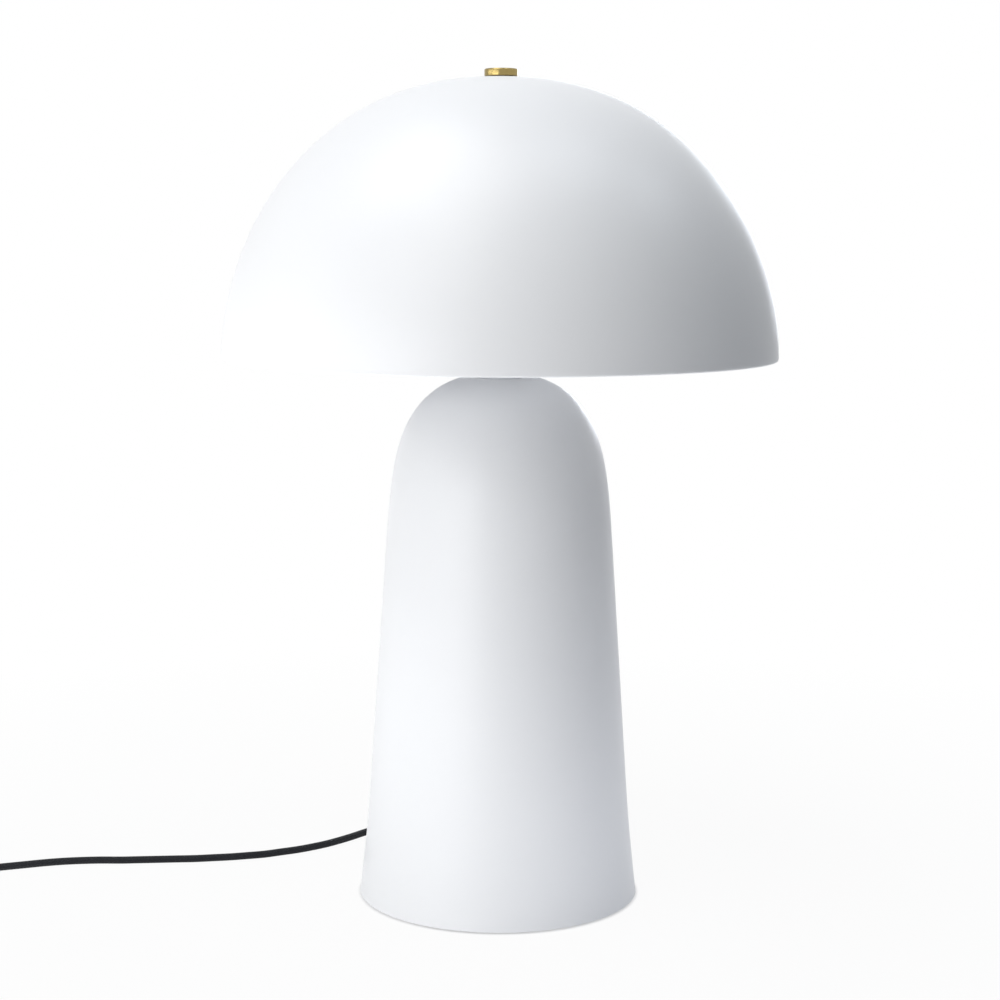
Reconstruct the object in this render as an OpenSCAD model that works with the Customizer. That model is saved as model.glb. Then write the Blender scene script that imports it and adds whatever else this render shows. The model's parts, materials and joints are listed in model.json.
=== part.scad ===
// Mushroom table lamp: a spun dome shade that lifts off a bullet-shaped spun base, with its bulb,
// flex, in-line switch and plug. Millimetres, +Z up, origin at the centre of the foot on the table.
// The flex leaves the base towards +Y.

/* [Base] */
// Height of the flat seat on top of the base
base_h = 317.5; // [290:0.5:345]
// Radius of the cone that the side follows, where it would meet the table
cone_r = 83.3; // [78:0.1:90]
// Narrowing of that cone for each millimetre of height
cone_taper = 0.0675; // [0.05:0.0025:0.08]
// How far the foot flares out beyond the cone
flare_w = 2.1; // [1:0.1:4]
// Height at which the flare has run out
flare_h = 70; // [50:1:90]
// Height of the curved shoulder below the seat
shoulder_h = 118; // [100:1:140]
// How far above the seat the shoulder's curve would close
crown_h = 3.2; // [2:0.1:5]
// How long the shoulder stays straight before it turns in
shoulder_power = 4.6; // [3.5:0.1:6]
// How full the shoulder is once it turns in
crown_power = 2.3; // [2:0.1:3]
// Wall of the spun base
base_wall = 1.2; // [0.8:0.1:2]
// Gap between the base's edge and the table
foot_gap = 1; // [0.5:0.25:1.5]

/* [Foot and ballast] */
// Thickness of the felt pad
felt_t = 2; // [1.75:0.25:4]
// How far the felt stays inside the bottom plate's edge
felt_inset = 2; // [1:0.5:6]
// Thickness of the bottom plate
plate_t = 1.5; // [1.5:0.25:3]
// Gap between the bottom plate and the base's wall
plate_gap = 1; // [0.5:0.25:2]
// Radius of the iron ballast
ballast_r = 72; // [66:0.5:76]
// Thickness of the iron ballast
ballast_t = 12; // [11:0.5:18]
// Radius of the recess under the ballast, for the tube's nut
recess_r = 12; // [11:0.5:18]
// Depth of that recess
recess_h = 8; // [7.5:0.25:9]
// Thickness of each lug welded inside the base, above the ballast
lug_t = 3; // [2:0.25:5]
// Width of each lug
lug_w = 16; // [10:1:24]
// How far each lug reaches in over the ballast
lug_reach = 8; // [4:0.5:12]
// Gap between each lug's end and the base's wall
lug_gap = 0.1; // [0.05:0.05:0.5]
// Distance of the plate's screws from the middle
plate_screw_at = 60; // [40:1:64]
// Length of the plate's screws
plate_screw_len = 10; // [8:0.5:11]
// Radius of the plate screws' shanks
plate_screw_r = 2; // [1.5:0.25:2.5]
// Radius of their countersunk heads
plate_screw_head_r = 3.8; // [3.5:0.1:5]

/* [Tube and neck] */
// Outer radius of the threaded tube up the middle
tube_r = 5; // [4.8:0.1:6]
// Radius of the tube's bore
tube_bore_r = 3.7; // [3:0.1:4]
// Radial clearance of the tube in the base and the ballast
tube_play = 0.1; // [0.05:0.05:0.4]
// How far the tube stands out below its nut
tube_past_nut = 0.5; // [0.25:0.25:1.5]
// Clearance on each side of the flex in the tube's slot
slot_play = 0.7; // [0.3:0.1:1.5]
// Width across the flats of the tube's nut
tube_nut_w = 17; // [15:0.5:18]
// Thickness of the tube's nut
tube_nut_t = 4; // [3:0.25:4.5]
// Thickness of the washers on the tube
tube_washer_t = 1.5; // [1:0.25:1.75]
// Radius of the washers on the tube
tube_washer_r = 9; // [8.5:0.25:10.5]
// Radius of the neck between the base and the bracket
neck_r = 12; // [10:0.25:16]
// Height of that neck
neck_h = 14; // [12.5:0.5:20]

/* [Bracket] */
// Width of the bracket's flat bar
bar_w = 12; // [11:0.5:16]
// Thickness of the flat bar
bar_t = 2; // [1.5:0.25:3]
// Distance from the middle to the outside of each arm
arm_at = 44; // [40:0.5:46]
// Outer radius of the bar's bends
bend_r = 12; // [8:0.5:16]
// Radius of the stud that holds the shade
stud_r = 3; // [2.5:0.1:4]
// Radius of the stud's flange, on top of the bar
stud_flange_r = 5; // [4.5:0.25:5.5]
// Thickness of that flange
stud_flange_t = 1.5; // [1:0.25:2]
// Width across the flats of the nut under the bar
stud_nut_w = 10; // [9:0.5:12]
// Thickness of that nut
stud_nut_t = 4; // [3:0.25:6]
// How far the stud stands out below its nut
stud_past_nut = 1; // [0.5:0.25:2]
// Thickness of the lock washer between the bracket and the lampholder
lock_washer_t = 1; // [0.5:0.25:1.5]

/* [Shade] */
// Outer radius of the shade at its edge
shade_r = 166; // [155:0.5:180]
// Height of the shade
shade_h = 165.5; // [160:0.5:180]
// Height of the shade's edge above the base's seat
shade_gap = 12; // [8:0.5:13]
// Radius of the flat in the middle of the dome
shade_flat_r = 12; // [11.5:0.25:14]
// Fullness of the dome seen across its radius
dome_power = 2.26; // [2:0.02:2.6]
// Fullness of the dome seen up its height
rise_power = 1.85; // [1.7:0.05:2.2]
// Wall of the spun shade
shade_wall = 1; // [0.8:0.1:1.5]
// Radius of the rolled edge
hem_r = 1.3; // [1:0.1:2]
// Thickness of the washer plate welded under the flat
shade_plate_t = 1; // [0.8:0.1:2]
// Thickness of the rubber washer that the shade rests on
seat_washer_t = 3; // [2.5:0.25:5]
// Radius of that rubber washer
seat_washer_r = 11; // [8:0.5:11]
// Clearance around the stud in the shade's hole
stud_play = 0.3; // [0.2:0.05:0.6]
// Clearance around the stud's flange in the rubber washer
flange_play = 0.3; // [0.2:0.05:0.6]

/* [Knob] */
// Radius of the turned knob
knob_r = 10; // [8:0.25:14]
// Height of the turned knob
knob_h = 4.5; // [4:0.25:10]
// Metal left over the knob's blind hole
knob_cap = 1; // [0.75:0.25:1.5]
// Chamfer around the knob's edges
knob_chamfer = 0.5; // [0.2:0.1:1]
// Radius of the thin washer under the knob
knob_washer_r = 7; // [6:0.25:7.5]
// Thickness of that washer
knob_washer_t = 0.5; // [0.3:0.1:1]
// Radial clearance of the knob on its stud
thread_play = 0.05; // [0.02:0.01:0.1]
// Gap between the stud's end and the bottom of the knob's hole
stud_end_gap = 0.2; // [0.1:0.05:0.4]

/* [Lampholder] */
// Outer radius of the lampholder
holder_r = 19.5; // [19:0.25:21]
// Wall of the lampholder
holder_wall = 2; // [1.5:0.25:3]
// Height of its cap
holder_cap_h = 18; // [16:0.5:24]
// Height of its barrel above the cap
holder_barrel_h = 36; // [32:0.5:36.5]
// Radius of the boss that screws onto the tube
holder_boss_r = 8.5; // [8:0.25:10]
// Height of the straight part of that boss
holder_step_h = 4; // [3:0.25:4.5]
// Height at which the cap reaches its full width
holder_shoulder_h = 12; // [11:0.25:13]
// Width of the slanted edge at that shoulder
holder_slant = 2; // [1:0.25:3]
// Thickness of the insulating insert
insert_t = 6; // [4:0.5:8]
// Inner radius of the metal thread shell
thread_shell_r = 13.5; // [13.3:0.05:14.5]
// Wall of the thread shell
thread_shell_wall = 0.4; // [0.3:0.05:0.8]
// Height of the thread shell
thread_shell_h = 26; // [20:0.5:28]
// Height of the sprung contact on the insert
contact_h = 2.5; // [2:0.25:4]
// Radius of the sprung contact
contact_r = 3; // [2:0.25:4]

/* [Bulb] */
// Radius of the opal globe
bulb_r = 22.5; // [20:0.25:23]
// Length of the bulb from its contact to the top of the globe
bulb_len = 78; // [72:0.5:80]
// Radius of the screw cap
bulb_cap_r = 13.1; // [12.5:0.05:13.2]
// Height of the screw cap
bulb_cap_h = 19; // [18:0.5:20]
// Wall of the screw cap
bulb_cap_wall = 0.8; // [0.4:0.1:1]
// Height of the black insulator under the screw cap
bulb_insulator_h = 3.5; // [2.5:0.25:5]
// Step from the contact to the insulator, and from the insulator to the screw cap
insulator_step = 1; // [0.5:0.25:1.5]
// Radius of the solder contact at the bottom
bulb_tip_r = 4; // [2.5:0.25:5]
// Height of that contact
bulb_tip_h = 1.5; // [1:0.25:2]
// Wall of the globe
bulb_wall = 1; // [0.8:0.1:1.5]
// Narrowing from the screw cap to the globe's neck
bulb_neck_step = 0.3; // [0.1:0.1:1]
// Share of the globe's radius at which the neck's cone meets it
globe_join = 0.8; // [0.76:0.01:0.84]

/* [Flex] */
// Diameter of the textile-covered flex
cord_d = 4.6; // [4:0.1:4.8]
// Radial clearance of the flex in the pieces that it passes through
cord_play = 0.1; // [0.05:0.05:0.3]
// How far the flex stands out above the tube
lead_past_tube = 2; // [1:0.5:4]
// Clear height between the ballast and the flex inside the base
lead_gap = 1; // [0.5:0.25:3]
// Radius of the bend that takes the flex up into the tube
lead_bend_r = 40; // [30:1:50]
// Length of the tapered strain relief
relief_len = 25; // [20:0.5:35]
// Radius of the strain relief at the base
relief_r = 5.5; // [5:0.25:6.5]
// Wall of the strain relief at its tip
relief_tip_wall = 0.9; // [0.6:0.1:1.5]
// Radius of the grommet's flange
flange_r = 8; // [7:0.25:9]
// Thickness of the grommet's flange at its thinnest
flange_t = 1.2; // [0.8:0.1:2]
// Radius of the grommet's sleeve through the base
sleeve_r = 6.5; // [6:0.25:6.75]
// How far the grommet's sleeve reaches inside the base
sleeve_reach = 4; // [3:0.5:6]
// Distance of the inner clamp from the middle
clamp_at = 55; // [52:0.5:60]
// Width of that clamp across the flex
clamp_w = 22; // [20:0.5:30]
// Depth of that clamp along the flex
clamp_depth = 8; // [6.5:0.5:12]
// Metal above and below the flex in the clamp
clamp_wall = 2; // [1.5:0.25:4]
// Distance of the clamp's screws from its middle
clamp_screw_at = 7.5; // [6.5:0.25:8]
// Radius of the clamp screws' shanks
clamp_screw_r = 1.5; // [1:0.1:1.6]
// Radius of their heads
clamp_screw_head_r = 2.8; // [2.5:0.1:3]
// Height of their heads
clamp_screw_head_h = 1.8; // [1:0.1:2.5]
// How far they reach down into the ballast
clamp_screw_grip = 5; // [3:0.5:8]

/* [Coil] */
// Turns of the put-away coil
coil_turns = 7.25; // [5.25:1:11.25]
// Radius of the spiral's start, inside the innermost turn
coil_core_r = 17.9; // [16:0.1:24]
// Distance between neighbouring turns
coil_pitch = 5.2; // [5.1:0.05:6]
// Height between the coil's two layers
coil_lift = 5.1; // [5.05:0.05:6]

/* [Switch] */
// Length of the in-line switch
switch_len = 60; // [56:1:80]
// Width of the switch
switch_w = 24; // [22:0.5:30]
// Height of the switch
switch_h = 15; // [14.5:0.5:18]
// Height of the flex's middle where it enters the switch
switch_entry = 6.3; // [6:0.1:7]
// Wall of the switch
switch_wall = 1.6; // [1.2:0.1:2]
// Radius of the switch's corners seen from above
switch_corner_r = 7; // [4:0.5:10]
// Length of the rocker
rocker_len = 18; // [14:0.5:20]
// Width of the rocker
rocker_w = 11; // [8:0.5:12]
// Clearance at each end of the rocker
rocker_end_gap = 1; // [0.8:0.1:1.5]
// Clearance at each side of the rocker
rocker_side_gap = 0.4; // [0.3:0.05:0.8]
// Angle that the rocker leans each way
rocker_lean = 8; // [5:0.5:9]
// Radius of the rocker's pin
rocker_pin_r = 1; // [0.8:0.1:1.2]
// Radial clearance of the rocker on its pin
rocker_pin_play = 0.05; // [0.02:0.01:0.08]
// Depth of the rocker's pin below the switch's top
rocker_pin_depth = 4.5; // [4.25:0.25:5]
// Height of the ridge across the rocker, above the switch's top
rocker_crown = 1; // [0.5:0.25:1.5]
// How far the rocker's well reaches below the pin
well_below = 2.5; // [1.5:0.25:2.75]
// Radius of the posts that take the switch's screws
switch_post_r = 3; // [2.5:0.1:3.4]
// Radius of those screws
switch_screw_r = 1.2; // [1:0.1:1.5]
// Radius of their heads
switch_screw_head_r = 2.2; // [1.8:0.1:2.4]
// Height of their heads
switch_screw_head_h = 1.5; // [1:0.25:2]
// Depth of their heads in the switch's underside
switch_screw_sink = 0.5; // [0.25:0.25:1]
// Distance of those screws from the switch's ends
switch_screw_in = 9; // [8:0.5:12]
// Distance of those screws from the switch's sides
switch_screw_aside = 5; // [4.75:0.25:6]
// Length of each terminal
terminal_l = 6; // [4:0.5:8]
// Width of each terminal
terminal_w = 7; // [5:0.5:8]
// Height of each terminal
terminal_h = 3; // [2:0.25:3.5]
// Distance of each terminal's middle from the switch's end
terminal_in = 14; // [12:0.5:15]

/* [Plug] */
// Length of the plug's body
plug_len = 36; // [32:0.5:44]
// Width of the plug's body at its face
plug_w = 35; // [32:0.5:38]
// Thickness of the plug's body
plug_t = 14; // [13.5:0.25:15]
// Length of the plug's widest part, back from its face
plug_grip_len = 16; // [12:0.5:18]
// Radius of the rounding along the plug's narrow sides
plug_edge_r = 3; // [2.5:0.1:3.5]
// Radius of the plug's corners seen from above
plug_corner_r = 2; // [1:0.25:3]
// Width of the step from the plug's body to its strain relief
plug_collar_w = 0.5; // [0.3:0.1:0.5]
// Length of the plug's own strain relief
plug_relief_len = 20; // [20:0.5:30]
// Radius of the plug's pins
pin_r = 2; // [1.9:0.05:2.4]
// Length of the plug's pins
pin_len = 19; // [18:0.5:20]
// Length of the insulating sleeve on each pin
pin_sleeve_len = 10; // [8:0.5:11]
// Distance between the plug's pins
pin_gap = 19; // [18:0.25:19.5]

/* [Hidden] */
// Every sub-part by name

$fn = 96;
// Overshoot of a cut past the face that it opens
cut = 1;
// Angles of the three lugs and the three plate screws
thirds = [30, 150, 270];
// Straight pieces that the foot's flare, the base's shoulder and the dome are turned in
flare_steps = 10;
shoulder_steps = 22;
dome_steps = 36;
// Sides of the free flex, and sides and rings to a turn of the coil
cord_sides = 10;
coil_sides = 6;
coil_rings = 24;

// Stack of pieces up from the table
plate_z = felt_t;
ballast_z = plate_z + plate_t;
ballast_top = ballast_z + ballast_t;
tube_washer_z = ballast_z + recess_h - tube_washer_t;
tube_nut_z = tube_washer_z - tube_nut_t;
tube_z = tube_nut_z - tube_past_nut;
bracket_z = base_h + neck_h;
holder_z = bracket_z + bar_t + lock_washer_t;
holder_mouth_z = holder_z + holder_cap_h;
insert_top = holder_mouth_z + insert_t;
bulb_z = insert_top + contact_h;
tube_top = holder_z + holder_cap_h / 2;

// Stack of pieces down from the top of the shade
shade_z = base_h + shade_gap;
shade_top = shade_z + shade_h;
shade_plate_z = shade_top - shade_wall - shade_plate_t;
bracket_top = shade_plate_z - seat_washer_t;
knob_z = shade_top + knob_washer_t;
stud_top = knob_z + knob_h - knob_cap - stud_end_gap;

// Profile of the base, from its foot to its seat
crown_z = base_h + crown_h;
shoulder_z = base_h - shoulder_h;
function cone_at(z) = cone_r - cone_taper * z + flare_w * pow(max(0, 1 - z / flare_h), 2);
function shoulder_at(z) = max(0, z - shoulder_z) / (crown_z - shoulder_z);
function base_r_at(z) = cone_at(z) * pow(1 - pow(shoulder_at(z), shoulder_power), 1 / crown_power);
seat_angle = asin(pow(shoulder_h / (shoulder_h + crown_h), shoulder_power / 2));
shoulder_span = crown_z - shoulder_z;
shoulder_heights = [for (i = [1 : shoulder_steps])
    shoulder_z + shoulder_span * pow(sin(seat_angle * i / shoulder_steps), 2 / shoulder_power)];
base_heights = concat(
    [for (i = [0 : flare_steps]) foot_gap + (flare_h - foot_gap) * i / flare_steps],
    [shoulder_z],
    shoulder_heights);
base_line = [for (z = base_heights) [base_r_at(z), z]];

// Profile of the shade, from above its rolled edge to its flat
dome_z = shade_z + hem_r;
flat_angle = acos(pow(shade_flat_r / shade_r, dome_power / 2));
dome_full_h = (shade_h - hem_r) / pow(sin(flat_angle), 2 / rise_power);
function dome_point(a) = [shade_r * pow(cos(a), 2 / dome_power),
    dome_z + dome_full_h * pow(sin(a), 2 / rise_power)];
shade_line = [for (i = [0 : dome_steps]) dome_point(flat_angle * i / dome_steps)];
hem_steps = 6;
hem_line = [for (i = [0 : hem_steps]) let (a = -180 + 180 * i / hem_steps)
    [shade_r - hem_r + hem_r * cos(a), dome_z + hem_r * sin(a)]];

// A line moved to its left by a wall, which keeps the wall even round every corner
function left_of(v) = [-v[1], v[0]] / norm(v);
function mitre(a, b, c) = let (m = left_of(b - a), n = left_of(c - b)) (m + n) / (1 + m * n);
function inner_line(line, wall) = [for (i = [1 : len(line) - 2])
    line[i] + wall * mitre(line[i - 1], line[i], line[i + 1])];
function reversed(line) = [for (i = [len(line) - 1 : -1 : 0]) line[i]];

// Where the flex leaves the base
cord_r = cord_d / 2;
exit_z = ballast_top + lead_gap + cord_r;
wall_y = base_r_at(exit_z);
flange_y = base_r_at(exit_z - flange_r) + flange_t;
tip_y = flange_y + relief_len;

// Route of the flex in plan, from the strain relief's tip. The third number of the first and the
// last run is the share that is left of the exit's height, or of the height at the switch.
exit_run = [[0, 0, 1], [0, 8, 1], [-2, 18, 0.93], [-7, 27, 0.72], [-15, 33, 0.45], [-25, 37, 0.22],
    [-36, 37, 0.06]];
table_run = [[-47, 35], [-57, 30], [-66, 24], [-75, 17], [-83, 9], [-91, 0], [-98, -9], [-106, -18],
    [-114, -26], [-123, -33], [-132, -39], [-142, -44], [-152, -49], [-162, -52], [-173, -55],
    [-184, -57], [-195, -59], [-207, -60], [-219, -61], [-231, -62], [-243, -63], [-255, -63],
    [-267, -64], [-279, -66], [-290, -69], [-301, -73], [-312, -77], [-323, -81]];
switch_run = [[-333, -84, 0.35], [-339, -85.5, 0.85], [-343, -86, 1], [-348, -86, 1]];
link_run = [[0, 1], [-5, 1], [-10, 0.8], [-18, 0.3], [-25, 0], [-30, 0]];
tail_run = [[0, 0], [5, 0], [9, 1], [14, 1]];

exit_lift = exit_z - cord_r;
switch_lift = switch_entry - cord_r;
run_points = concat(
    [for (p = exit_run) [p[0], tip_y + p[1], cord_r + exit_lift * p[2]]],
    [for (p = table_run) [p[0], tip_y + p[1], cord_r]],
    [for (p = switch_run) [p[0], tip_y + p[1], cord_r + switch_lift * p[2]]]);
run_end = run_points[len(run_points) - 1];
switch_x = run_end[0] - switch_len / 2;
switch_y = run_end[1];
link_points = [for (p = link_run)
    [switch_x - switch_len / 2 + p[0], switch_y, cord_r + switch_lift * p[1]]];
link_end = link_points[len(link_points) - 1];

// The coil spirals in, climbs a layer in the half turn where it reverses, and spirals out again. The
// flex leaves it along its outermost turn, towards the plug.
half_turns = coil_turns / 2;
coil_r = coil_core_r + coil_pitch * half_turns;
coil_x = link_end[0] - cord_d;
coil_y = link_end[1] - coil_r;
// The radius is rounded off for a quarter turn on each side of the middle, where it turns over
function spiral_r(u) = coil_core_r
    + coil_pitch * (abs(u) < 0.25 ? 2 * u * u + 0.125 : abs(u));
function spiral_z(u) = cord_r + coil_lift * (u < -0.25 ? 0 : u > 0.25 ? 1 : 0.5 + 0.5 * sin(360 * u));
function spiral_point(u) = let (a = 90 + 360 * (u + half_turns))
    [coil_x + spiral_r(u) * cos(a), coil_y + spiral_r(u) * sin(a), spiral_z(u)];
coil_steps = coil_turns * coil_rings;
spiral = [for (i = [0 : coil_steps]) spiral_point(i / coil_rings - half_turns)];
out_angle = 360 * (coil_turns % 1) - 180;
coil_out = [cos(out_angle), sin(out_angle), 0];
coil_points = concat([link_end], spiral, [spiral[coil_steps] + cord_d * coil_out]);
coil_end = coil_points[len(coil_points) - 1];
tail_drop = coil_end[2] - plug_t / 2;
tail_points = [for (p = tail_run) coil_end + p[0] * coil_out - [0, 0, p[1] * tail_drop]];
plug_start = tail_points[len(tail_points) - 1];

// Least gap of the coil to itself, over points more than half a turn apart
past_half = coil_rings / 2 + 1;
coil_gaps = [for (i = [0 : coil_steps - past_half], j = [i + past_half : coil_steps])
    norm(spiral[i] - spiral[j])];
echo(coil_least_gap = min(coil_gaps) - cord_d);

// Length of the flex from the strain relief to the plug
function length_of(line) = let (steps = [for (i = [1 : len(line) - 1]) norm(line[i] - line[i - 1])])
    steps * [for (s = steps) 1];
echo(flex_length = length_of(run_points) + switch_len + length_of(link_points)
    + length_of(coil_points) + length_of(tail_points));

// Rings of a tube along a line of points, each ring square to the line
function along(line, i) = let (last = len(line) - 1,
    d = line[min(last, i + 1)] - line[max(0, i - 1)]) d / norm(d);
function ring(line, i, r, sides) = let (t = along(line, i), s = cross(t, [0, 0, 1]),
    across = s / norm(s), up = cross(across, t))
    [for (k = [0 : sides - 1]) let (a = 90 + 360 * k / sides)
        line[i] + r * (cos(a) * across + sin(a) * up)];
module swept_tube(line, r, sides) {
    rings = len(line);
    points = [for (i = [0 : rings - 1]) each ring(line, i, r, sides)];
    walls = [for (i = [0 : rings - 2], k = [0 : sides - 1])
        let (a = i * sides + k, b = i * sides + (k + 1) % sides)
        each [[a, b, b + sides], [a, b + sides, a + sides]]];
    start_cap = [for (k = [1 : sides - 2]) [0, k + 1, k]];
    first = (rings - 1) * sides;
    end_cap = [for (k = [1 : sides - 2]) [first, first + k, first + k + 1]];
    polyhedron(points, concat(walls, start_cap, end_cap));
}

// Shapes that repeat
module washer(r, bore_r, t) {
    difference() {
        cylinder(r = r, h = t);
        translate([0, 0, -cut]) cylinder(r = bore_r, h = t + 2 * cut);
    }
}
module hex_nut(flats, t, bore_r) {
    difference() {
        cylinder(r = flats / sqrt(3), h = t, $fn = 6);
        translate([0, 0, -cut]) cylinder(r = bore_r, h = t + 2 * cut);
    }
}
module rounded_plate(l, w, r, t) {
    linear_extrude(t) {
        square([l, w - 2 * r], center = true);
        square([l - 2 * r, w], center = true);
        for (x = [-1, 1], y = [-1, 1]) translate([x * (l / 2 - r), y * (w / 2 - r)]) circle(r);
    }
}
module along_y(y, z) {
    translate([0, y, z]) rotate([-90, 0, 0]) children();
}

// Base
module base_outside() {
    rotate_extrude() polygon(concat([[0, foot_gap]], base_line, [[0, base_h]]));
}
module base_shell() {
    closed_line = concat(base_line, [[tube_r + tube_play, base_h]]);
    inner = inner_line(closed_line, base_wall);
    wall_line = concat(
        closed_line,
        [[tube_r + tube_play, base_h - base_wall]],
        reversed(inner),
        [base_line[0] - [base_wall, 0]]);
    color("white") difference() {
        rotate_extrude() polygon(wall_line);
        along_y(wall_y / 2, exit_z) cylinder(r = sleeve_r, h = wall_y);
    }
}
module ballast_lug(i) {
    color("silver") rotate(thirds[i]) translate([0, 0, ballast_top]) intersection() {
        cylinder(r = base_r_at(ballast_top + lug_t) - base_wall - lug_gap, h = lug_t);
        translate([ballast_r - lug_reach, -lug_w / 2, 0]) cube([cone_r, lug_w, lug_t]);
    }
}
module ballast() {
    color("dimgray") difference() {
        translate([0, 0, ballast_z]) cylinder(r = ballast_r, h = ballast_t);
        translate([0, 0, ballast_z - cut]) cylinder(r = recess_r, h = recess_h + cut);
        translate([0, 0, ballast_z]) cylinder(r = tube_r + tube_play, h = ballast_t + cut);
        for (a = thirds) rotate(a) translate([plate_screw_at, 0, ballast_z - cut])
            cylinder(r = plate_screw_r, h = plate_screw_len - plate_t + cut);
        for (x = [-1, 1]) translate([x * clamp_screw_at, clamp_at, ballast_top - clamp_screw_grip])
            cylinder(r = clamp_screw_r, h = clamp_screw_grip + cut);
    }
}
plate_r = base_r_at(plate_z) - base_wall - plate_gap;
module bottom_plate() {
    color("silver") difference() {
        translate([0, 0, plate_z]) cylinder(r = plate_r, h = plate_t);
        for (a = thirds) rotate(a) translate([plate_screw_at, 0, plate_z]) {
            cylinder(r1 = plate_screw_head_r, r2 = plate_screw_r, h = plate_t);
            translate([0, 0, -cut]) cylinder(r = plate_screw_r, h = plate_t + 2 * cut);
        }
    }
}
module felt_pad() {
    color("dimgray") cylinder(r = plate_r - felt_inset, h = felt_t);
}
module plate_screw(i) {
    color("silver") rotate(thirds[i]) translate([plate_screw_at, 0, plate_z]) {
        cylinder(r1 = plate_screw_head_r, r2 = plate_screw_r, h = plate_t);
        cylinder(r = plate_screw_r, h = plate_screw_len);
    }
}

// Tube and neck
module support_tube() {
    slot_w = cord_d + 2 * slot_play;
    slot_z = exit_z + lead_bend_r - sqrt(pow(lead_bend_r, 2) - pow(lead_bend_r - tube_r, 2)) - cord_d;
    color("silver") difference() {
        translate([0, 0, tube_z]) cylinder(r = tube_r, h = tube_top - tube_z);
        translate([0, 0, tube_z - cut]) cylinder(r = tube_bore_r, h = tube_top - tube_z + 2 * cut);
        translate([-slot_w / 2, 0, slot_z])
            cube([slot_w, 2 * tube_r, exit_z + lead_bend_r + cord_d - slot_z]);
    }
}
module tube_washer() {
    color("silver") translate([0, 0, tube_washer_z]) washer(tube_washer_r, tube_r, tube_washer_t);
}
module tube_nut() {
    color("goldenrod") translate([0, 0, tube_nut_z]) hex_nut(tube_nut_w, tube_nut_t, tube_r);
}
module neck_collar() {
    color("white") translate([0, 0, base_h]) washer(neck_r, tube_r, neck_h);
}
module lock_washer() {
    color("silver") translate([0, 0, bracket_z + bar_t]) washer(tube_washer_r, tube_r, lock_washer_t);
}

// Bracket that carries the shade
module bracket_outline(inset) {
    h = bracket_top - bracket_z;
    w = 2 * arm_at;
    r = bend_r - inset;
    square([w - 2 * inset, h - 2 * inset - 2 * r], center = true);
    square([w - 2 * inset - 2 * r, h - 2 * inset], center = true);
    for (x = [-1, 1], y = [-1, 1])
        translate([x * (w / 2 - bend_r), y * (h / 2 - bend_r)]) circle(r);
}
module harp_bracket() {
    color("silver") difference() {
        translate([0, 0, (bracket_z + bracket_top) / 2]) rotate([90, 0, 0])
            linear_extrude(bar_w, center = true) difference() {
                bracket_outline(0);
                bracket_outline(bar_t);
            }
        translate([0, 0, bracket_z - cut]) cylinder(r = tube_r, h = bar_t + 2 * cut);
        translate([0, 0, bracket_top - bar_t - cut]) cylinder(r = stud_r, h = bar_t + 2 * cut);
    }
}
module shade_stud() {
    stud_z = bracket_top - bar_t - stud_nut_t - stud_past_nut;
    color("silver") {
        translate([0, 0, stud_z]) cylinder(r = stud_r, h = stud_top - stud_z);
        translate([0, 0, bracket_top]) cylinder(r = stud_flange_r, h = stud_flange_t);
    }
}
module stud_nut() {
    color("silver") translate([0, 0, bracket_top - bar_t - stud_nut_t])
        hex_nut(stud_nut_w, stud_nut_t, stud_r);
}
module seat_washer() {
    color("dimgray") translate([0, 0, bracket_top])
        washer(seat_washer_r, stud_flange_r + flange_play, seat_washer_t);
}

// Lampholder
module holder_cap() {
    inner_r = holder_r - holder_wall;
    inner_shoulder_h = holder_shoulder_h + holder_wall / 4;
    inner_step_h = holder_step_h + 1.5 * holder_wall;
    boss_h = tube_top - holder_z;
    color("dimgray") translate([0, 0, holder_z]) rotate_extrude() polygon([
        [tube_r, 0], [holder_boss_r, 0], [holder_boss_r, holder_step_h],
        [holder_r - holder_slant, holder_shoulder_h - 1.5 * holder_slant],
        [holder_r, holder_shoulder_h], [holder_r, holder_cap_h],
        [inner_r, holder_cap_h], [inner_r, inner_shoulder_h],
        [inner_r - holder_slant, inner_shoulder_h - holder_slant],
        [holder_boss_r, inner_step_h], [holder_boss_r, boss_h], [tube_r, boss_h]]);
}
module holder_barrel() {
    color("dimgray") translate([0, 0, holder_mouth_z])
        washer(holder_r, holder_r - holder_wall, holder_barrel_h);
}
module holder_insert() {
    color("ivory") translate([0, 0, holder_mouth_z])
        washer(holder_r - holder_wall, contact_r / 2, insert_t);
}
module holder_thread() {
    color("goldenrod") translate([0, 0, insert_top])
        washer(thread_shell_r + thread_shell_wall, thread_shell_r, thread_shell_h);
}
module holder_contact() {
    color("goldenrod") translate([0, 0, insert_top]) cylinder(r = contact_r, h = contact_h);
}

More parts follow.
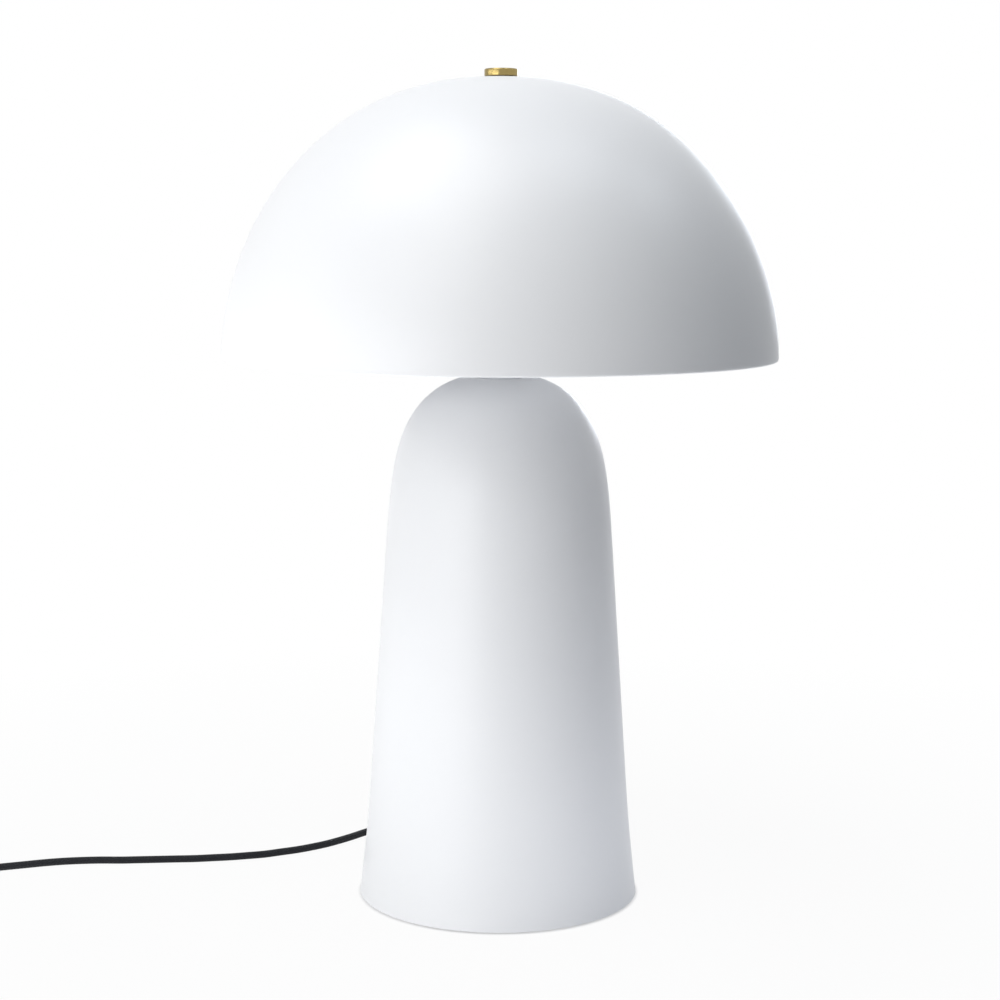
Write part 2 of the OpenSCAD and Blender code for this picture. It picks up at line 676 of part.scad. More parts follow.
// Flex inside the base, and what guides it
module cord_bore(y0, y1) {
    along_y(y0, exit_z) cylinder(r = cord_r + cord_play, h = y1 - y0);
}
module cord_grommet() {
    color("dimgray") difference() {
        union() {
            along_y(wall_y - base_wall - sleeve_reach, exit_z)
                cylinder(r = sleeve_r, h = flange_y - wall_y + base_wall + sleeve_reach);
            difference() {
                along_y(wall_y - base_wall, exit_z)
                    cylinder(r = flange_r, h = flange_y - wall_y + base_wall);
                base_outside();
            }
        }
        cord_bore(wall_y - base_wall - sleeve_reach - cut, flange_y + cut);
    }
}
module strain_relief() {
    color("dimgray") difference() {
        along_y(flange_y, exit_z)
            cylinder(r1 = relief_r, r2 = cord_r + relief_tip_wall, h = relief_len);
        cord_bore(flange_y - cut, tip_y + cut);
    }
}
module inner_lead() {
    bend_z = exit_z + lead_bend_r;
    color("black") {
        along_y(lead_bend_r, exit_z) cylinder(r = cord_r, h = tip_y - lead_bend_r);
        translate([0, lead_bend_r, bend_z]) rotate([-90, 0, 0]) rotate([0, 90, 0])
            rotate_extrude(angle = 90) translate([lead_bend_r, 0]) circle(cord_r);
        translate([0, 0, bend_z]) cylinder(r = cord_r, h = tube_top + lead_past_tube - bend_z);
    }
}
clamp_top = exit_z + cord_r + clamp_wall;
module cord_clamp() {
    color("dimgray") difference() {
        translate([-clamp_w / 2, clamp_at - clamp_depth / 2, ballast_top])
            cube([clamp_w, clamp_depth, clamp_top - ballast_top]);
        cord_bore(clamp_at - clamp_depth, clamp_at + clamp_depth);
        for (x = [-1, 1]) translate([x * clamp_screw_at, clamp_at, ballast_top - cut])
            cylinder(r = clamp_screw_r, h = clamp_top - ballast_top + 2 * cut);
    }
}
module clamp_screw(i) {
    x = [-1, 1][i] * clamp_screw_at;
    color("silver") translate([x, clamp_at, ballast_top - clamp_screw_grip]) {
        cylinder(r = clamp_screw_r, h = clamp_top - ballast_top + clamp_screw_grip);
        translate([0, 0, clamp_top - ballast_top + clamp_screw_grip])
            cylinder(r = clamp_screw_head_r, h = clamp_screw_head_h);
    }
}

// Shade and knob
module shade_shell() {
    hole_r = stud_r + stud_play;
    closed_line = concat(shade_line, [[hole_r, shade_top]]);
    inner = inner_line(closed_line, shade_wall);
    wall_line = concat(
        hem_line,
        [for (i = [1 : len(closed_line) - 1]) closed_line[i]],
        [[hole_r, shade_top - shade_wall]],
        reversed(inner));
    color("white") rotate_extrude() polygon(wall_line);
}
module shade_plate() {
    color("silver") translate([0, 0, shade_plate_z])
        washer(shade_flat_r, stud_r + stud_play, shade_plate_t);
}
module knob_washer() {
    color("goldenrod") translate([0, 0, shade_top])
        washer(knob_washer_r, stud_r + stud_play, knob_washer_t);
}
module knob() {
    c = knob_chamfer;
    bore_r = stud_r + thread_play;
    bore_h = knob_h - knob_cap;
    color("goldenrod") translate([0, 0, knob_z]) rotate_extrude() polygon([
        [bore_r, 0], [knob_r - c, 0], [knob_r, c], [knob_r, knob_h - c], [knob_r - c, knob_h],
        [0, knob_h], [0, bore_h], [bore_r, bore_h]]);
}

// Bulb
insulator_z = bulb_z + bulb_tip_h;
bulb_cap_z = insulator_z + bulb_insulator_h;
globe_z = bulb_cap_z + bulb_cap_h;
globe_mid = bulb_z + bulb_len - bulb_r;
module bulb_tip() {
    color("silver") translate([0, 0, bulb_z]) cylinder(r = bulb_tip_r, h = bulb_tip_h);
}
module bulb_insulator() {
    color("black") translate([0, 0, insulator_z])
        cylinder(
            r1 = bulb_tip_r + insulator_step,
            r2 = bulb_cap_r - insulator_step,
            h = bulb_insulator_h);
}
module bulb_cap() {
    color("silver") translate([0, 0, bulb_cap_z])
        washer(bulb_cap_r, bulb_cap_r - bulb_cap_wall, bulb_cap_h);
}
module globe_form(inset) {
    neck_top = globe_mid - sqrt(1 - pow(globe_join, 2)) * bulb_r;
    translate([0, 0, globe_mid]) sphere(bulb_r - inset);
    translate([0, 0, globe_z]) cylinder(
        r1 = bulb_cap_r - bulb_neck_step - inset,
        r2 = globe_join * bulb_r - inset,
        h = neck_top - globe_z);
}
module bulb_globe() {
    color("ivory") difference() {
        globe_form(0);
        globe_form(bulb_wall);
        translate([0, 0, globe_z - cut]) cylinder(r = bulb_cap_r - bulb_neck_step - bulb_wall, h = 2 * cut);
    }
}

// Flex on the table
module cord_run() { color("black") swept_tube(run_points, cord_r, cord_sides); }
module cord_link() { color("black") swept_tube(link_points, cord_r, cord_sides); }
module cord_coil() { color("black") swept_tube(coil_points, cord_r, coil_sides); }
module cord_tail() { color("black") swept_tube(tail_points, cord_r, cord_sides); }

// In-line switch, in its own frame with its middle at the origin
module at_switch() {
    translate([switch_x, switch_y, 0]) children();
}
rocker_z = switch_h - rocker_pin_depth;
well_l = rocker_len + 2 * rocker_end_gap;
well_w = rocker_w + 2 * rocker_side_gap;
well_z = rocker_z - well_below;
switch_screw_x = switch_len / 2 - switch_screw_in;
switch_screw_y = switch_w / 2 - switch_screw_aside;
cover_h = switch_h - switch_entry;
module at_switch_screws() {
    for (s = [-1, 1]) translate([s * switch_screw_x, s * switch_screw_y, 0]) children();
}
module switch_base() {
    color("black") at_switch() difference() {
        union() {
            difference() {
                rounded_plate(switch_len, switch_w, switch_corner_r, switch_entry);
                translate([0, 0, switch_wall])
                    rounded_plate(switch_len - 2 * switch_wall, switch_w - 2 * switch_wall,
                        switch_corner_r - switch_wall, switch_entry);
            }
            at_switch_screws() translate([0, 0, switch_wall / 2])
                cylinder(r = switch_post_r, h = switch_entry - switch_wall / 2);
        }
        at_switch_screws() translate([0, 0, -cut]) {
            cylinder(r = switch_screw_r, h = switch_h);
            cylinder(r = switch_screw_head_r, h = cut + switch_screw_sink + switch_screw_head_h);
        }
    }
}
module switch_cover() {
    color("black") at_switch() difference() {
        union() {
            difference() {
                translate([0, 0, switch_entry])
                    rounded_plate(switch_len, switch_w, switch_corner_r, cover_h);
                translate([0, 0, switch_entry - switch_wall])
                    rounded_plate(switch_len - 2 * switch_wall, switch_w - 2 * switch_wall,
                        switch_corner_r - switch_wall, cover_h);
            }
            at_switch_screws() translate([0, 0, switch_entry])
                cylinder(r = switch_post_r, h = cover_h - switch_wall / 2);
            translate([-well_l / 2 - switch_wall, -well_w / 2 - switch_wall, well_z])
                cube([well_l + 2 * switch_wall, well_w + 2 * switch_wall,
                    switch_h - switch_wall / 2 - well_z]);
        }
        translate([-well_l / 2, -well_w / 2, 0]) cube([well_l, well_w, switch_h + cut]);
        translate([0, 0, rocker_z]) rotate([90, 0, 0])
            cylinder(r = rocker_pin_r, h = well_w + 2 * switch_wall, center = true);
        at_switch_screws() translate([0, 0, -cut])
            cylinder(r = switch_screw_r, h = cut + switch_entry + cover_h / 2);
    }
}
module switch_terminal(i) {
    side = [-1, 1][i];
    color("goldenrod") at_switch()
        translate([side * (switch_len / 2 - terminal_in), 0, switch_wall + terminal_h / 2])
            cube([terminal_l, terminal_w, terminal_h], center = true);
}
module switch_screw(i) {
    s = [-1, 1][i];
    color("silver") at_switch()
        translate([s * switch_screw_x, s * switch_screw_y, switch_screw_sink]) {
            cylinder(r = switch_screw_head_r, h = switch_screw_head_h);
            cylinder(r = switch_screw_r, h = switch_entry + cover_h / 2 - switch_screw_sink);
        }
}
module rocker_pin() {
    color("silver") at_switch() translate([0, 0, rocker_z]) rotate([90, 0, 0])
        cylinder(r = rocker_pin_r, h = well_w + 2 * switch_wall, center = true);
}
module rocker() {
    l = rocker_len / 2;
    // Its ends are lower than its ridge, and it is deepest in the middle, around the pin
    end_h = rocker_pin_depth - 0.5;
    end_depth = rocker_pin_r;
    mid_depth = 2.2 * rocker_pin_r;
    mid_l = 4 * rocker_pin_r;
    color("black") at_switch() translate([0, 0, rocker_z]) rotate([90, rocker_lean, 0]) difference() {
        linear_extrude(rocker_w, center = true)
            polygon([[-l, end_h], [-l, -end_depth], [-mid_l, -mid_depth], [mid_l, -mid_depth],
                [l, -end_depth], [l, end_h], [0, rocker_pin_depth + rocker_crown]]);
        cylinder(r = rocker_pin_r + rocker_pin_play, h = rocker_w + 2 * cut, center = true);
    }
}

// Plug, in its own frame: X runs along it from the end of the flex, and Z = 0 is its middle height
plug_face = plug_relief_len + plug_len;
module at_plug() {
    translate(plug_start) rotate(out_angle) children();
}
module plug_upright(x_back, y_in, r, inset) {
    for (side = [-1, 1])
        translate([plug_face - x_back, side * (plug_w / 2 - y_in), 0])
            cylinder(r = r, h = plug_t - 2 * inset, center = true, $fn = 32);
}
module plug_body() {
    e = plug_edge_r;
    c = plug_corner_r;
    color("black") at_plug() {
        rotate([0, 90, 0]) cylinder(r1 = cord_r + relief_tip_wall, r2 = relief_r, h = plug_relief_len);
        hull() {
            translate([plug_relief_len, 0, 0])
                rotate([0, 90, 0]) cylinder(r = relief_r + plug_collar_w, h = 1, $fn = 32);
            plug_upright(plug_grip_len, e, e, e);
            plug_upright(c, e + c, c, 0);
            plug_upright(plug_grip_len + c, 3 * e, c, 0);
        }
    }
}
module at_pin(i) {
    at_plug() translate([plug_face, [-1, 1][i] * pin_gap / 2, 0]) rotate([0, 90, 0]) children();
}
module pin_sleeve(i) {
    color("black") at_pin(i) cylinder(r = pin_r, h = pin_sleeve_len);
}
module plug_pin(i) {
    color("silver") at_pin(i) translate([0, 0, pin_sleeve_len])
        cylinder(r = pin_r, h = pin_len - pin_sleeve_len);
}

base_shell();
for (i = [0 : 2]) ballast_lug(i);
ballast();
bottom_plate();
felt_pad();
for (i = [0 : 2]) plate_screw(i);
support_tube();
tube_washer();
tube_nut();
neck_collar();
harp_bracket();
shade_stud();
stud_nut();
seat_washer();
lock_washer();
holder_cap();
holder_barrel();
holder_insert();
holder_thread();
holder_contact();
cord_grommet();
strain_relief();
inner_lead();
cord_clamp();
for (i = [0 : 1]) clamp_screw(i);
shade_shell();
shade_plate();
knob_washer();
knob();
bulb_tip();
bulb_insulator();
bulb_cap();
bulb_globe();
cord_run();
switch_base();
switch_cover();
for (i = [0 : 1]) switch_terminal(i);
for (i = [0 : 1]) switch_screw(i);
rocker_pin();
rocker();
cord_link();
cord_coil();
cord_tail();
plug_body();
for (i = [0 : 1]) pin_sleeve(i);
for (i = [0 : 1]) plug_pin(i);
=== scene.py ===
# %% [markdown]
# # A mushroom table lamp
# The lamp has a spun dome shade, a bullet-shaped spun base, a brass knob and a black flex. Its
# exact solids come from a CAD model, which is loaded first as a fixed frame: every new piece is
# built where the CAD piece is, in metres, with the origin at the middle of the foot. The lesson
# then goes through the lamp piece by piece, from the camera and the flex to the light.

# %% Load the frame
import json
import math

import bmesh
import bpy
from mathutils import Matrix, Vector


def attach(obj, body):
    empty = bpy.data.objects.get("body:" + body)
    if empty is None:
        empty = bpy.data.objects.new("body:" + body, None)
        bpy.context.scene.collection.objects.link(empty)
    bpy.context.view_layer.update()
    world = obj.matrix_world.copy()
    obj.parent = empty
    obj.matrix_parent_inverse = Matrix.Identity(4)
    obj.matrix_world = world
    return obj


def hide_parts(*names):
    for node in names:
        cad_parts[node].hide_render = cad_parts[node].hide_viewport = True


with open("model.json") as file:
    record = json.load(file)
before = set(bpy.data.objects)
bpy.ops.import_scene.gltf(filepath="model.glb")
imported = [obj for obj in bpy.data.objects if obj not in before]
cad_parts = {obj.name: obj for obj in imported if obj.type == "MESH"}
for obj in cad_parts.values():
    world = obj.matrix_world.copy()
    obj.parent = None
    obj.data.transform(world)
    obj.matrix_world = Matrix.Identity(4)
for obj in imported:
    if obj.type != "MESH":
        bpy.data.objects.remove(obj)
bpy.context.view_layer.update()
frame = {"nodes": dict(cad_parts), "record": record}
MM = 0.001

# %% [markdown]
# ## The camera
# The photograph looks slightly down on the lamp from the front, with a long lens, so the shade's
# edge is a shallow curve. A camera is fitted by making the outline of the shade, the knob and the
# foot fall on the photograph's. It needs a place, a tilt, a focal length and a quarter of a
# degree of roll, since the right end of the shade's edge is a little lower than its left end.

# %% Place the camera
CAMERA_AT = (0.0003, -1.2527, 0.4083)
TILT_DOWN = 7.501
ROLL = 0.23
FOCAL_LENGTH, SENSOR_WIDTH = 75.03, 36
NEAREST, FARTHEST = 0.05, 50


def placed(name, data):
    """An object in the scene from its data: a camera, a light or a mesh."""
    made = bpy.data.objects.new(name, data)
    bpy.context.scene.collection.objects.link(made)
    return made


lens = bpy.data.cameras.new("photo_camera")
lens.lens, lens.sensor_width = FOCAL_LENGTH, SENSOR_WIDTH
lens.clip_start, lens.clip_end = NEAREST, FARTHEST
camera = placed("photo_camera", lens)
camera.location = CAMERA_AT
tilted = Matrix.Rotation(math.radians(90 - TILT_DOWN), 3, "X")
rolled = Matrix.Rotation(math.radians(ROLL), 3, "Z")
camera.rotation_euler = (tilted @ rolled).to_euler()
bpy.context.scene.camera = camera
print("Camera", CAMERA_AT, "tilted down", TILT_DOWN, "degrees")

# %% [markdown]
# ## From points to a piece
# Each piece is built as a mesh by code, then given its name, the CAD body that it moves with, the
# finish that it takes and the CAD solids that it stands for. An edge between two faces that meet
# at a clear angle is marked sharp, and everything else is shaded smooth, as on a real machined
# piece.

# %% A piece from a mesh
SHARP_ANGLE = math.radians(32)
pieces, piece_slots = {}, {}


def shaded(mesh):
    """The bmesh with smooth faces, outward normals and its clear edges marked sharp."""
    bmesh.ops.recalc_face_normals(mesh, faces=mesh.faces)
    for face in mesh.faces:
        face.smooth = True
    for edge in mesh.edges:
        edge.smooth = edge.calc_face_angle(0) < SHARP_ANGLE
    return mesh


def placed_mesh(name, mesh):
    """An object in the scene from a bmesh, which is used up."""
    data = bpy.data.meshes.new(name)
    mesh.to_mesh(data)
    mesh.free()
    return placed(name, data)


def finished_piece(name, mesh, slot, body="lamp_base", stands_for=()):
    """An object from a bmesh, riding on its body and standing for its CAD nodes."""
    made = placed_mesh(name, shaded(mesh))
    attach(made, body)
    if stands_for:
        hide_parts(*stands_for)
    pieces[name], piece_slots[name] = made, slot
    return made


# %% [markdown]
# ## The flex
# A textile-covered flex, 4.6 mm thick and 1.8 m long, leaves the base at the back through a
# strain relief and comes round to the left along the table. The rest of it isn't in the picture:
# it runs through an in-line switch into a round coil, with the plug beside it. A flex is one long
# tube, so a few chosen points are joined by a smooth curve, and a round section is swept along
# that curve.

# %% The route's chosen points
CORD_R = 2.3
TIP_Y = 110.273
EXIT_Z = 18.8
SWITCH_Z = 6.3
# Millimetres from the strain relief's tip, with the share of its lift that the flex has there
EXIT_RUN = [(0, 0, 1), (0, 8, 1), (-2, 18, 0.93), (-7, 27, 0.72), (-15, 33, 0.45), (-25, 37, 0.22),
            (-36, 37, 0.06)]
TABLE_RUN = [(-47, 35), (-57, 30), (-66, 24), (-75, 17), (-83, 9), (-91, 0), (-98, -9),
             (-106, -18), (-114, -26), (-123, -33), (-132, -39), (-142, -44), (-152, -49),
             (-162, -52), (-173, -55), (-184, -57), (-195, -59), (-207, -60), (-219, -61),
             (-231, -62), (-243, -63), (-255, -63), (-267, -64), (-279, -66), (-290, -69),
             (-301, -73), (-312, -77), (-323, -81)]
SWITCH_RUN = [(-333, -84, 0.35), (-339, -85.5, 0.85), (-343, -86, 1), (-348, -86, 1)]
DIP_RUN = [(20, 5.6), (10, 4.9), (-10, 4.9), (-20, 5.6)]
LINK_RUN = [(0, 1), (-5, 1), (-10, 0.8), (-18, 0.3), (-25, 0), (-30, 0)]
SWITCH_LEN = 60


def lifted(share, height):
    """The height of the flex's middle, for a share of its height above the table."""
    return CORD_R + (height - CORD_R) * share


route = [(x, TIP_Y + y, lifted(s, EXIT_Z)) for x, y, s in EXIT_RUN]
route += [(x, TIP_Y + y, CORD_R) for x, y in TABLE_RUN]
route += [(x, TIP_Y + y, lifted(s, SWITCH_Z)) for x, y, s in SWITCH_RUN]
switch_x, switch_y = route[-1][0] - SWITCH_LEN / 2, route[-1][1]
# Inside the switch the flex dips under the rocker
route += [(switch_x + x, switch_y, z) for x, z in DIP_RUN]
route += [(switch_x - SWITCH_LEN / 2 + x, switch_y, lifted(s, SWITCH_Z)) for x, s in LINK_RUN]
print(len(route), "chosen points, switch at", (switch_x, round(switch_y, 3)))

# %% [markdown]
# The coil spirals in on the table, climbs one layer in the half turn where it reverses, and
# spirals out again on top. A rule gives its points: the radius grows by one pitch for each turn
# on both sides of the middle, and the height changes once, smoothly, in the middle.

# %% The coil's points
COIL_TURNS = 7.25
COIL_CORE_R = 17.9
COIL_PITCH = 5.2
COIL_LIFT = 5.1
POINTS_PER_TURN = 48
TAIL_RUN = [(5, 0), (9, 1), (14, 1)]
PLUG_Z = 7.0

half_turns = COIL_TURNS / 2
coil_r = COIL_CORE_R + COIL_PITCH * half_turns
coil_x, coil_y = route[-1][0] - 2 * CORD_R, route[-1][1] - coil_r


def coil_point(turn):
    """A point of the coil, for a turn counted from the middle."""
    far = abs(turn)
    radius = COIL_CORE_R + COIL_PITCH * (2 * turn * turn + 0.125 if far < 0.25 else far)
    climb = 0.5 + 0.5 * math.sin(2 * math.pi * max(-0.25, min(0.25, turn)))
    angle = math.radians(90 + 360 * (turn + half_turns))
    return (coil_x + radius * math.cos(angle), coil_y + radius * math.sin(angle),
            CORD_R + COIL_LIFT * climb)


coil = [coil_point(i / POINTS_PER_TURN - half_turns)
        for i in range(int(COIL_TURNS * POINTS_PER_TURN) + 1)]
out_angle = math.radians(360 * (COIL_TURNS % 1) - 180)
out_x, out_y = round(math.cos(out_angle), 9), round(math.sin(out_angle), 9)


def beyond(point, distance, climb=0.0):
    """A point that is further in the direction in which the flex leaves the coil."""
    return (point[0] + out_x * distance, point[1] + out_y * distance, point[2] + climb)


coil_end = beyond(coil[-1], 2 * CORD_R)
tail = [beyond(coil_end, x, (PLUG_Z - coil_end[2]) * s) for x, s in TAIL_RUN]
plug_start = tail[-1]
print("Coil", round(2 * coil_r + 2 * CORD_R, 1), "mm across, plug starts at",
      [round(x, 2) for x in plug_start])

# %% [markdown]
# A Catmull-Rom curve passes through every chosen point and leaves each one in the direction from
# the point before it to the point after it, which is how a springy flex lies.


# %% A smooth curve through points
def smooth_curve(points, step):
    """Points about a step apart on a curve through the given ones."""
    ends = [2 * points[0] - points[1]] + points + [2 * points[-1] - points[-2]]
    curve = [points[0]]
    for before, start, end, after in zip(ends, ends[1:], ends[2:], ends[3:]):
        pieces_here = max(1, round((end - start).length / step))
        for i in range(1, pieces_here + 1):
            t = i / pieces_here
            curve.append(0.5 * (2 * start + (end - before) * t
                                + (2 * before - 5 * start + 4 * end - after) * t ** 2
                                + (3 * start - before - 3 * end + after) * t ** 3))
    return curve


def line_length(points):
    """The length of a line through points."""
    return sum((b - a).length for a, b in zip(points, points[1:]))


RING_STEP = 3.5

chosen = [Vector(p) * MM for p in route]
flex_line = smooth_curve(chosen, RING_STEP * MM)
for point in flex_line:
    point.z = max(point.z, CORD_R * MM)
flex_line += [Vector(p) * MM for p in coil + [coil_end] + tail]
flex_length = line_length(flex_line)
print("Flex", round(flex_length, 4), "m in", len(flex_line), "rings")


# %% [markdown]
# A sweep puts the same outline square to the line at each of its points. The map that it makes
# says how far along the line and how far round the outline each corner is, and the braid is drawn
# on it.


# %% Sweep an outline along a line
def swept(line, outline, reference, ring=False):
    """A bmesh of an outline of (across, up) points, in metres, swept along a line."""
    mesh = bmesh.new()
    along_around = mesh.loops.layers.uv.new("along_around")
    rings, far, distance = [], [], 0.0
    for i, here in enumerate(line):
        before = line[i - 1] if ring or i else here
        after = line[(i + 1) % len(line)] if ring or i + 1 < len(line) else here
        ahead = (after - before).normalized()
        across = ahead.cross(reference).normalized()
        up = across.cross(ahead)
        rings.append([mesh.verts.new(here + across * a + up * b) for a, b in outline])
        distance += (here - before).length if i else 0.0
        far.append(distance)
    count = len(outline)
    for i in range(len(line) if ring else len(line) - 1):
        n = (i + 1) % len(line)
        for k in range(count):
            m = (k + 1) % count
            face = mesh.faces.new((rings[i][k], rings[i][m], rings[n][m], rings[n][k]))
            places = ((far[i], k), (far[i], k + 1), (far[n], k + 1), (far[n], k))
            for loop, (u, v) in zip(face.loops, places):
                loop[along_around].uv = (u, v / count)
    if not ring:
        mesh.faces.new(rings[0])
        mesh.faces.new(rings[-1])
    return mesh


def circle(radius, sides):
    """The points of a circle, as an outline to sweep."""
    turn = 2 * math.pi / sides
    return [(radius * math.cos(turn * k), radius * math.sin(turn * k)) for k in range(sides)]


FLEX_SIDES = 16
UP = Vector((0, 0, 1))
flex = finished_piece(
    "flex", swept(flex_line, circle(CORD_R * MM, FLEX_SIDES), UP), "black_textile",
    stands_for=("cord_run", "cord_link", "cord_coil", "cord_tail"))

# %% [markdown]
# The same flex goes on inside the base: straight to the middle over the ballast, then round a
# bend and up the threaded tube to the lampholder.

# %% The flex inside the base
LEAD_BEND_R, LEAD_TOP = 40.0, 345.5
LEAD_BEND_STEPS = 24

bend_angles = [math.radians(90 * i / LEAD_BEND_STEPS) for i in range(LEAD_BEND_STEPS + 1)]
bend = [Vector((0, LEAD_BEND_R * (1 - math.sin(a)), EXIT_Z + LEAD_BEND_R * (1 - math.cos(a)))) * MM
        for a in bend_angles]
lead_line = [Vector((0, TIP_Y, EXIT_Z)) * MM] + bend + [Vector((0, 0, LEAD_TOP)) * MM]
finished_piece("flex_inside", swept(lead_line, circle(CORD_R * MM, FLEX_SIDES), Vector((1, 0, 0))),
               "black_textile", stands_for=("inner_lead",))
print("Flex has", len(flex.data.polygons), "faces, and goes on for",
      round(line_length(lead_line), 3), "m inside")

# %% [markdown]
# ## Turned and spun pieces
# Most of the lamp is round: metal spun over a form, or turned on a lathe. Each such piece is a
# profile of radius and height turned round the axis. A turned edge is never perfectly sharp, so a
# helper rounds the corners of a profile with small arcs, which catch the light as real edges do.


# %% Round the corners of a profile
def rounded(corners, arc_steps=4):
    """The closed outline of (radius, height, rounding) corners, with an arc at each rounding."""
    outline = []
    for i, (x, z, rounding) in enumerate(corners):
        here = Vector((x, z))
        if not rounding:
            outline.append((x, z))
            continue
        back = (Vector(corners[i - 1][:2]) - here).normalized()
        on = (Vector(corners[(i + 1) % len(corners)][:2]) - here).normalized()
        half = back.angle(on) / 2
        centre = here + (back + on).normalized() * (rounding / math.sin(half))
        start = here + back * (rounding / math.tan(half)) - centre
        end = here + on * (rounding / math.tan(half)) - centre
        way = math.copysign(math.pi - 2 * half, start.x * end.y - start.y * end.x)
        for step in range(arc_steps + 1):
            a = way * step / arc_steps
            outline.append((centre.x + start.x * math.cos(a) - start.y * math.sin(a),
                            centre.y + start.x * math.sin(a) + start.y * math.cos(a)))
    return outline


# %% Turn a profile round an axis
ROUND_SIDES = 96


def turned(profile, sides=ROUND_SIDES, shape=None):
    """A bmesh of a closed profile in millimetres turned round Z. shape(radius, height, angle), if
    it is given, returns the radius to use there, for flutes, flats and threads."""
    mesh = bmesh.new()
    rings = []
    for radius, height in profile:
        ring = []
        for k in range(sides if radius > 1e-6 else 1):
            a = 2 * math.pi * k / sides
            r = (shape(radius, height, a) if shape else radius) * MM
            ring.append(mesh.verts.new((r * math.cos(a), r * math.sin(a), height * MM)))
        rings.append(ring)
    for i, low in enumerate(rings):
        high = rings[(i + 1) % len(rings)]
        for k in range(sides):
            n = (k + 1) % sides
            # A ring on the axis is a single point, which must be in a face only once
            corners = list(dict.fromkeys((low[k % len(low)], low[n % len(low)],
                                          high[n % len(high)], high[k % len(high)])))
            if len(corners) > 2:
                mesh.faces.new(corners)
    return mesh


print("Round pieces are turned in", ROUND_SIDES, "steps")

# %% [markdown]
# ## The shade
# The shade is spun from aluminium: a flat disc is pressed over a turning form, its edge is rolled
# over, and it is painted white inside and out. Seen from the side it is fuller than half a ball,
# so its curve follows a superellipse. A wall of 1 mm is kept everywhere by moving the curve
# inwards along its own normals. A dense, evenly turned mesh keeps the highlights free of ripples.

# %% The shade's curve
SHADE_R = 166.0
SHADE_TOP = 495.0
HEM_R = 1.3
DOME_Z = 329.5 + HEM_R
DOME_POWER = 2.26
RISE_POWER = 1.85
FLAT_R = 12.0
SHADE_WALL = 1.0
STUD_HOLE_R = 3.3
DOME_STEPS, SHADE_SIDES = 72, 224

flat_angle = math.acos((FLAT_R / SHADE_R) ** (DOME_POWER / 2))
dome_full_h = (SHADE_TOP - DOME_Z) / math.sin(flat_angle) ** (2 / RISE_POWER)


def dome_point(angle):
    """A point (radius, height) of the dome, from its edge at 0 to its flat."""
    return (SHADE_R * math.cos(angle) ** (2 / DOME_POWER),
            DOME_Z + dome_full_h * math.sin(angle) ** (2 / RISE_POWER))


def offset_line(line, wall):
    """The line moved to its left by the wall, without its two ends."""
    moved = []
    for a, b, c in zip(line, line[1:], line[2:]):
        before, after = (Vector(b) - Vector(a)).normalized(), (Vector(c) - Vector(b)).normalized()
        left = Vector((-before.y - after.y, before.x + after.x))
        moved.append(tuple(Vector(b) + left * (wall / (1 + before.dot(after)))))
    return moved


dome = [dome_point(flat_angle * i / DOME_STEPS) for i in range(DOME_STEPS + 1)]
hem_angles = [math.radians(a) for a in range(-180, 0, 20)]
hem = [(SHADE_R - HEM_R + HEM_R * math.cos(a), DOME_Z + HEM_R * math.sin(a)) for a in hem_angles]
outside = dome + [(STUD_HOLE_R, SHADE_TOP)]
inside = offset_line(outside, SHADE_WALL)
shade_profile = hem + outside + [(STUD_HOLE_R, SHADE_TOP - SHADE_WALL)] + inside[::-1]
finished_piece("shade_dome", turned(shade_profile, SHADE_SIDES), "white_paint", "shade",
               ("shade_shell",))
print("Shade's radius halfway up:", round(dome_point(math.radians(30))[0], 1), "mm")

# %% [markdown]
# ## The base
# The base is a tall shell of spun steel. A nearly straight cone flares a little at the foot and
# turns in at the shoulder to a small flat seat for the neck. The hole for the flex goes through
# the back wall, so it is cut out of the finished shell with a cylinder, as the maker would drill
# it.

# %% The base's curve
BASE_TOP = 317.5
FOOT_GAP = 1.0
CONE_R = 83.3
CONE_TAPER = 0.0675
FLARE_W = 2.1
FLARE_H = 70.0
CROWN_Z = BASE_TOP + 3.2
SHOULDER_Z = BASE_TOP - 118.0
SHOULDER_POWER = 4.6
CROWN_POWER = 2.3
BASE_WALL = 1.2
TUBE_HOLE_R = 5.1
SLEEVE_R = 6.5
CONE_STEPS, SHOULDER_STEPS, BASE_SIDES = 40, 48, 192


def base_radius(z):
    """The base's outer radius at a height, in millimetres."""
    cone = CONE_R - CONE_TAPER * z + FLARE_W * max(0, 1 - z / FLARE_H) ** 2
    bend = max(0, z - SHOULDER_Z) / (CROWN_Z - SHOULDER_Z)
    return cone * (1 - bend ** SHOULDER_POWER) ** (1 / CROWN_POWER)


shoulder_h = CROWN_Z - SHOULDER_Z
seat_angle = math.asin(((BASE_TOP - SHOULDER_Z) / shoulder_h) ** (SHOULDER_POWER / 2))
heights = [FOOT_GAP + (SHOULDER_Z - FOOT_GAP) * i / CONE_STEPS for i in range(CONE_STEPS)]
heights += [SHOULDER_Z
            + shoulder_h * math.sin(seat_angle * i / SHOULDER_STEPS) ** (2 / SHOULDER_POWER)
            for i in range(1, SHOULDER_STEPS + 1)]
base_outside = [(base_radius(z), z) for z in heights] + [(TUBE_HOLE_R, BASE_TOP)]
base_inside = offset_line(base_outside, BASE_WALL)
foot_edge = [(base_radius(FOOT_GAP) - BASE_WALL, FOOT_GAP)]
base_profile = base_outside + [(TUBE_HOLE_R, BASE_TOP - BASE_WALL)] + base_inside[::-1] + foot_edge
print("Base's radius at the foot, the shoulder and the seat:",
      [round(base_radius(z), 1) for z in (FOOT_GAP, SHOULDER_Z, BASE_TOP)])


